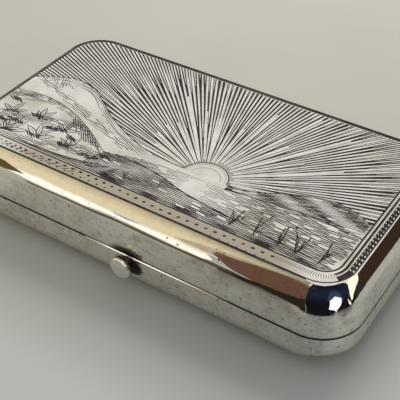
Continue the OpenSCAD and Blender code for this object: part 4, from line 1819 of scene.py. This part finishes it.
@dataclass
class PushButton:
    """The domed push button with its stem, and the ring it slides through."""

    sizes: BoxSizes = SIZES
    head_radius: float = 2.4
    head_back: float = -26.6
    head_face: float = -27.4
    face_radius: float = 2.05
    face_dome: float = 0.05
    bevel_radius: float = 0.42
    stem_radius: float = 0.9
    washer_front: float = -23.54
    plate_back: float = -22.34
    ring_radius: float = 1.4
    ring_face: float = -25.35
    ring_hole: float = 0.95

    def build(self) -> list[bpy.types.Object]:
        """Builds and dresses button and ring.

        Returns:
            The two pieces.
        """
        axis, start = Vector((0, 1, 0)), Vector((0, 0, self.sizes.button_z))
        r, flat = self.head_radius, self.face_radius
        bulge = (flat * flat + self.face_dome ** 2) / (2 * self.face_dome)
        profile = [(self.head_face + bulge - math.sqrt(bulge ** 2 - (flat * i / 8) ** 2), flat * i / 8) for i in range(9)]
        for i in range(1, 15):
            a = math.radians(3 + 4 * i)
            profile.append((self.head_face + self.face_dome + self.bevel_radius * (1 - math.cos(a)),
                            flat + self.bevel_radius * (math.sin(a) - math.sin(math.radians(3)))))
        profile.append((profile[-1][0] + 0.05, r))
        profile += [(self.head_back - 0.08, r), (self.head_back - 0.02, r - 0.03), (self.head_back, r - 0.1)]
        profile += [(self.head_back, self.stem_radius + 0.06), (self.head_back + 0.06, self.stem_radius)]
        tail = self.stem_radius * 0.6
        profile += [(self.washer_front, self.stem_radius), (self.washer_front, tail), (self.plate_back, tail)]
        profile += [(self.plate_back, self.stem_radius), (self.plate_back + 0.15, self.stem_radius),
                    (self.plate_back + 0.27, self.stem_radius * 0.7), (self.plate_back + 0.3, 0)]
        button = lathe(profile, axis, start, BUTTON_SILVER, "push_button_silver", 72)
        front = -self.sizes.corner_y - self.sizes.corner_radius
        hole, e = self.ring_hole, 0.1
        ring_profile = [(front, hole), (self.ring_face + e / 2, hole), (self.ring_face, hole + e / 2),
                        (self.ring_face, self.ring_radius - e), (self.ring_face + 0.3 * e, self.ring_radius - 0.3 * e),
                        (self.ring_face + e, self.ring_radius), (front, self.ring_radius), (front, hole)]
        # The ring is painted dark as the shade under the button's head
        ring = lathe(ring_profile, axis, start, COLLAR_WITH_PAINTED_SHADE, "button_ring", 56)
        return [finished(button, Body.BUTTON, Slot.BUTTON, "push_button"),
                finished(ring, Body.BASE, Slot.FITTING, "button_collar")]


@dataclass
class SpringCatch:
    """The brass leaf spring, its hook and rivets, and the lid's keeper."""

    sizes: BoxSizes = SIZES
    height: float = 3.0
    wall: float = 0.4
    reach: float = 16.0
    front: float = -23.24
    tip: float = 2.4
    fixed_end: float = -10.0
    edge: float = 0.04

    def leaf(self) -> bpy.types.Object:
        """Builds the leaf in many short lengths."""
        draft = MeshDraft()
        half, z = self.height / 2, self.sizes.button_z
        middle = self.tip - half
        stops = [-self.reach + i * (middle + self.reach) / 44 for i in range(45)]
        stops += [middle + half * math.sin(math.radians(7.5 * i)) for i in range(1, 13)]
        rows = []
        for x in stops:
            tall = half if x <= middle else max(0.02, math.sqrt(max(0.0, half ** 2 - (x - middle) ** 2)))
            e = min(self.edge, tall / 2)
            y0, y1 = self.front, self.front + self.wall
            rows.append(draft.add([
                (x, y0 + e, z - tall), (x, y0, z - tall + e), (x, y0, z + tall - e), (x, y0 + e, z + tall),
                (x, y1 - e, z + tall), (x, y1, z + tall - e), (x, y1, z - tall + e), (x, y1 - e, z - tall),
            ]))
        for row, following in zip(rows, rows[1:]):
            for i in range(8):
                j = (i + 1) % 8
                draft.face([row[i], row[j], following[j], following[i]], BRASS)
        draft.face(rows[0], BRASS)
        draft.face(rows[-1][::-1], BRASS)
        leaf = draft.build("catch_spring_leaf")
        outwards(leaf)
        return leaf

    def build(self) -> list[bpy.types.Object]:
        """Builds and dresses the catch.

        Returns:
            Its pieces.
        """
        leaf = self.leaf()
        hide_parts("catch_spring")
        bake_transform(leaf)
        return [
            leaf,
            softened("catch_hook", GILT, Body.BUTTON, Slot.GILT),
            softened("stem_washer", BRASS, Body.BUTTON, Slot.BRASS, 0.03),
            softened("catch_spring_pad", GILT, Body.BASE, Slot.GILT, 0.03),
            softened("spring_rivets", FITTING, Body.BASE, Slot.FITTING),
            softened("catch_keeper", GILT, Body.LID, Slot.GILT),
            softened("base_bezel", BEZEL_GILT, Body.BASE, Slot.GILT, 0.03),
        ]


# Studio

@dataclass(frozen=True)
class Card:
    """A standing card that only reflections see.

    Its path in plan has a lower and an upper edge at each point. Its levels give, for a share of the height, how
    much of the finish's first colour is left.
    """

    name: str
    finish: Glow
    path: CardPath
    levels: tuple[Point, ...] = ((0.0, 1.0), (1.0, 1.0))

    def build(self) -> None:
        """Builds the card."""
        mesh = bpy.data.meshes.new(self.name)
        rows = len(self.levels)
        points = [(x * MM, y * MM, (low + (high - low) * share) * MM)
                  for x, y, low, high in self.path for share, _ in self.levels]
        faces = [(rows * i + k, rows * i + rows + k, rows * i + rows + k + 1, rows * i + k + 1)
                 for i in range(len(self.path) - 1) for k in range(rows - 1)]
        mesh.from_pydata(points, [], faces)
        core = mesh.attributes.new("core", "FLOAT", "POINT")
        core.data.foreach_set("value", [value for _ in self.path for _, value in self.levels])
        mesh.materials.append(self.finish.material())
        card = bpy.data.objects.new(self.name, mesh)
        bpy.context.scene.collection.objects.link(card)
        card.visible_camera = False
        card.visible_diffuse = False
        card.visible_shadow = False
        card.visible_transmission = False


def bent(radius: float, edges: Sequence[Point3], centre: Point = (38.25, -16.0)) -> CardPath:
    """A card's path bent round a vertical axis.

    Args:
        radius: The bend's radius in millimetres.
        edges: Degrees from the front towards the right, lower and upper edge of each point.
        centre: The axis.

    Returns:
        The path.
    """
    return tuple((centre[0] + radius * math.sin(math.radians(turn)), centre[1] - radius * math.cos(math.radians(turn)),
                  low, high) for turn, low, high in edges)


def even(start: float, end: float, low: float, high: float) -> list[Point3]:
    """The edges of a bent card of one height."""
    return [(start + (end - start) * i / 10, low, high) for i in range(11)]


@dataclass
class Studio:
    """Floor, soft light, cards and the photograph's camera."""

    camera_place: Point3 = (85.819, -124.177, 132.314)
    right: Point3 = (0.83286459, 0.55326368, -0.01535836)
    up: Point3 = (-0.34651216, 0.54286391, 0.76500203)
    back: Point3 = (0.43158533, -0.63182124, 0.64384472)
    lens: float = 81.73
    sky: str = "#e6e4e0"
    sky_light: float = 0.58

    def floor(self) -> None:
        """Adds the floor."""
        mesh = bpy.data.meshes.new("floor")
        mesh.from_pydata([(-4, -4, 0), (4, -4, 0), (4, 4, 0), (-4, 4, 0)], [], [(0, 1, 2, 3)])
        mesh.materials.append(TableTop("pale_table").material())
        floor = bpy.data.objects.new("floor", mesh)
        bpy.context.scene.collection.objects.link(floor)

    def world(self) -> None:
        """Adds the even world light, and the pale backdrop that camera and reflections see."""
        world = bpy.data.worlds.new("studio")
        bpy.context.scene.world = world
        world.use_nodes = True
        tree = world.node_tree
        tree.nodes.clear()
        path = add_node(tree, "ShaderNodeLightPath")
        seen = add_node(tree, "ShaderNodeMath", {0: path.outputs["Is Camera Ray"], 1: path.outputs["Is Glossy Ray"]},
                        operation="MAXIMUM")
        light = add_node(tree, "ShaderNodeBackground", {"Color": linear("#fafbff"), "Strength": self.sky_light})
        shown = add_node(tree, "ShaderNodeBackground", {"Color": linear(self.sky), "Strength": 1.0})
        both = add_node(tree, "ShaderNodeMixShader", {0: seen.outputs[0], 1: light.outputs[0], 2: shown.outputs[0]})
        add_node(tree, "ShaderNodeOutputWorld", {"Surface": both.outputs[0]})

    def lamp(self, name: str, place: Point3, size: float, power: float, colour: str) -> None:
        """Adds one soft lamp that shines at the box.

        Args:
            name: Its name.
            place: Its place in millimetres.
            size: Its side in millimetres.
            power: Its power in watts.
            colour: Its colour.
        """
        light = bpy.data.lights.new(name, "AREA")
        light.size = size * MM
        light.energy = power
        light.color = linear(colour)[:3]
        lamp = bpy.data.objects.new(name, light)
        lamp.location = Vector(place) * MM
        lamp.rotation_mode = "QUATERNION"
        lamp.rotation_quaternion = (Vector((0, 0, 10)) - Vector(place)).to_track_quat("-Z", "Y")
        lamp.visible_glossy = False
        bpy.context.scene.collection.objects.link(lamp)

    def cards(self) -> None:
        """Adds what the polished shoulder reflects."""
        dusk = ((0.0, 1.0), (0.18, 1.0), (0.84, 0.0), (1.0, 0.0))
        for card in (
            Card("cream_wall", Glow("card_cream", "#eddfbb", 1.0, "#8e8473"), bent(600, even(-88, -24, 60, 1300), (0, 0)),
                 dusk),
            Card("khaki_wall", Glow("card_khaki", "#bdb19a", 1.0, "#8e8473"), bent(600, even(-24, -8, 60, 1300), (0, 0)),
                 dusk),
            Card("white_board", Glow("card_white", "#fffaf0", 1.3, "#e9dcba"), (
                (-46.3, -44, 9, 12), (-44.8, -44, 9.2, 14.9), (-40.5, -44, 6.2, 21.3),
                (-35, -44, 4.9, 24.2), (-32, -44, 5.6, 23.1), (-28.3, -44, 6.9, 20.9), (-23.5, -44, 5.7, 22.3),
                (-18.5, -44, 9.2, 20.6), (-15, -44, 10.3, 19.2), (-12.5, -44, 9.5, 17), (-10.3, -44, 9.6, 15.4),
                (-5, -44, 7.2, 19.4), (0.7, -44, 6.2, 21.1), (3.6, -44, 5.8, 21.1), (6.7, -44, 5.6, 19),
                (8.5, -44, 4.5, 19.5), (10.4, -44, 9, 20), (11.8, -44, 10.5, 13.7)),
                 ((0.0, 0.3), (0.2, 1.0), (0.6, 1.0), (1.0, 0.0))),
            Card("dark_end", Glow("card_end", "#625534", 1.0), (
                (-75, -43, 9, 28), (-52, -43, 10, 26), (-46, -43, 9.5, 24), (-42, -43, 13, 19), (-39, -43, 15, 15.5))),
            Card("dark_rail", Glow("card_rail", "#5c543c", 1.0), (
                (-40, -40, 1, 5), (-28, -40, 1, 6), (-21.3, -40, 0.3, 6.1), (-12.9, -40, 3, 8.8), (-6.4, -40, 1, 8.5),
                (-1.6, -40, 0.3, 7.7), (3.9, -40, 0.3, 6.4), (8.5, -40, 0.3, 7.4), (13, -40, 0.3, 9.2),
                (18, -40, 0.3, 9), (24, -40, 0.3, 5))),
            Card("brown_board", Glow("card_brown", "#6a4d40", 1.0, "#8d7d66"), (
                (9, -50, 24, 33), (11.2, -50, 19, 33), (13.4, -50, 9, 35),
                (15.5, -50, 5, 41), (18.5, -50, 3, 48), (22.4, -50, 3, 58), (26.4, -50, 3, 56), (44, -50, 3, 46)),
                 ((0.0, 1.0), (0.8, 1.0), (1.0, 0.0))),
            Card("black_board", Glow("card_black", "#2c251c", 1.0), (
                (13, -39, 0.3, 3), (16, -39, 0.3, 6), (24, -39, 0.3, 9.5), (31, -39, 0.3, 12), (38.2, -39, 0.3, 17))),
            Card("dark_board", Glow("card_dark", "#20273a", 1.0, "#15161a"), bent(23, (
                (-1, 30, 50), (0, 30, 50), (0.8, 0.3, 50), *even(6, 88, 0.3, 50))),
                 ((0.0, 0.0), (0.3, 0.0), (0.5, 1.0), (0.8, 0.4), (1.0, 0.0))),
            Card("blue_glow", Glow("card_blue", "#3f4c6c", 1.0, "#20273a"), bent(22.5, (
                (38, 22, 23), (41, 20, 30), (46, 19, 34), (52, 19, 35), (58, 18, 32), (64, 17, 21))),
                 ((0.0, 1.0), (0.35, 1.0), (1.0, 0.0))),
            Card("grey_board", Glow("card_grey", "#2f2e2a", 1.0), bent(23, (
                (88, 9, 28), (93, 11, 28), (98, 15, 28), (112, 19, 28)))),
            Card("small_window", Glow("card_window", "#f4fbff", 1.6), bent(21, (
                (40.7, 7.1, 18.5), (42, 6.8, 19.2), (45.9, 5.6, 21), (49.9, 4.8, 23), (55.9, 3.3, 21.1),
                (60.2, 14.5, 19.8)))),
            Card("corner_glint", Glow("card_glint", "#fff8ea", 1.4), bent(21, (
                (71.5, 15.6, 16.6), (74.8, 10.3, 13.6), (78.5, 8, 10.5), (81.3, 5.5, 6.3)))),
            Card("corner_strip", Glow("card_strip", "#fff8e6", 1.25), bent(21.5, (
                (76.9, 19.0, 19.8), (79, 12.7, 24), (81, 13.5, 27.5), (84, 19, 30.5), (94, 23.6, 40), (110, 27, 46),
                (122.4, 31.7, 52)))),
            Card("side_board", Glow("card_side", "#3a2c22", 1.0), (
                (100, -40, 0.3, 56), (112, 20, 0.3, 74), (95, 90, 0.3, 84), (40, 130, 0.3, 90))),
        ):
            card.build()

    def camera(self) -> None:
        """Sets the camera where the photograph's stood."""
        data = bpy.data.cameras.new("camera")
        data.lens = self.lens
        data.sensor_width = 36
        data.clip_start = 0.01
        camera = bpy.data.objects.new("camera", data)
        turn = Matrix((self.right, self.up, self.back)).transposed().to_4x4()
        camera.matrix_world = Matrix.Translation(Vector(self.camera_place) * MM) @ turn
        bpy.context.scene.collection.objects.link(camera)
        bpy.context.scene.camera = camera

    def build(self) -> None:
        """Builds the whole studio."""
        self.floor()
        self.world()
        self.lamp("key_light", (-60, 260, 380), 260, 1.25, "#fffbf6")
        self.cards()
        self.camera()
        bpy.context.scene.view_settings.view_transform = "Standard"


def main() -> None:
    """Builds the box and its studio, and reports each piece."""
    logging.basicConfig(level=logging.INFO, format="%(message)s")
    engraving = LidEngraving()
    pieces = [LidShell().build(engraving), BaseShell().build()]
    for part in (engraving, HingeBarrel(), PushButton(), SpringCatch()):
        pieces += part.build()
    Studio().build()
    for piece in pieces:
        LOG.info("%s: %d faces", piece.name, len(piece.data.polygons))


if __name__ == "__main__":
    main()
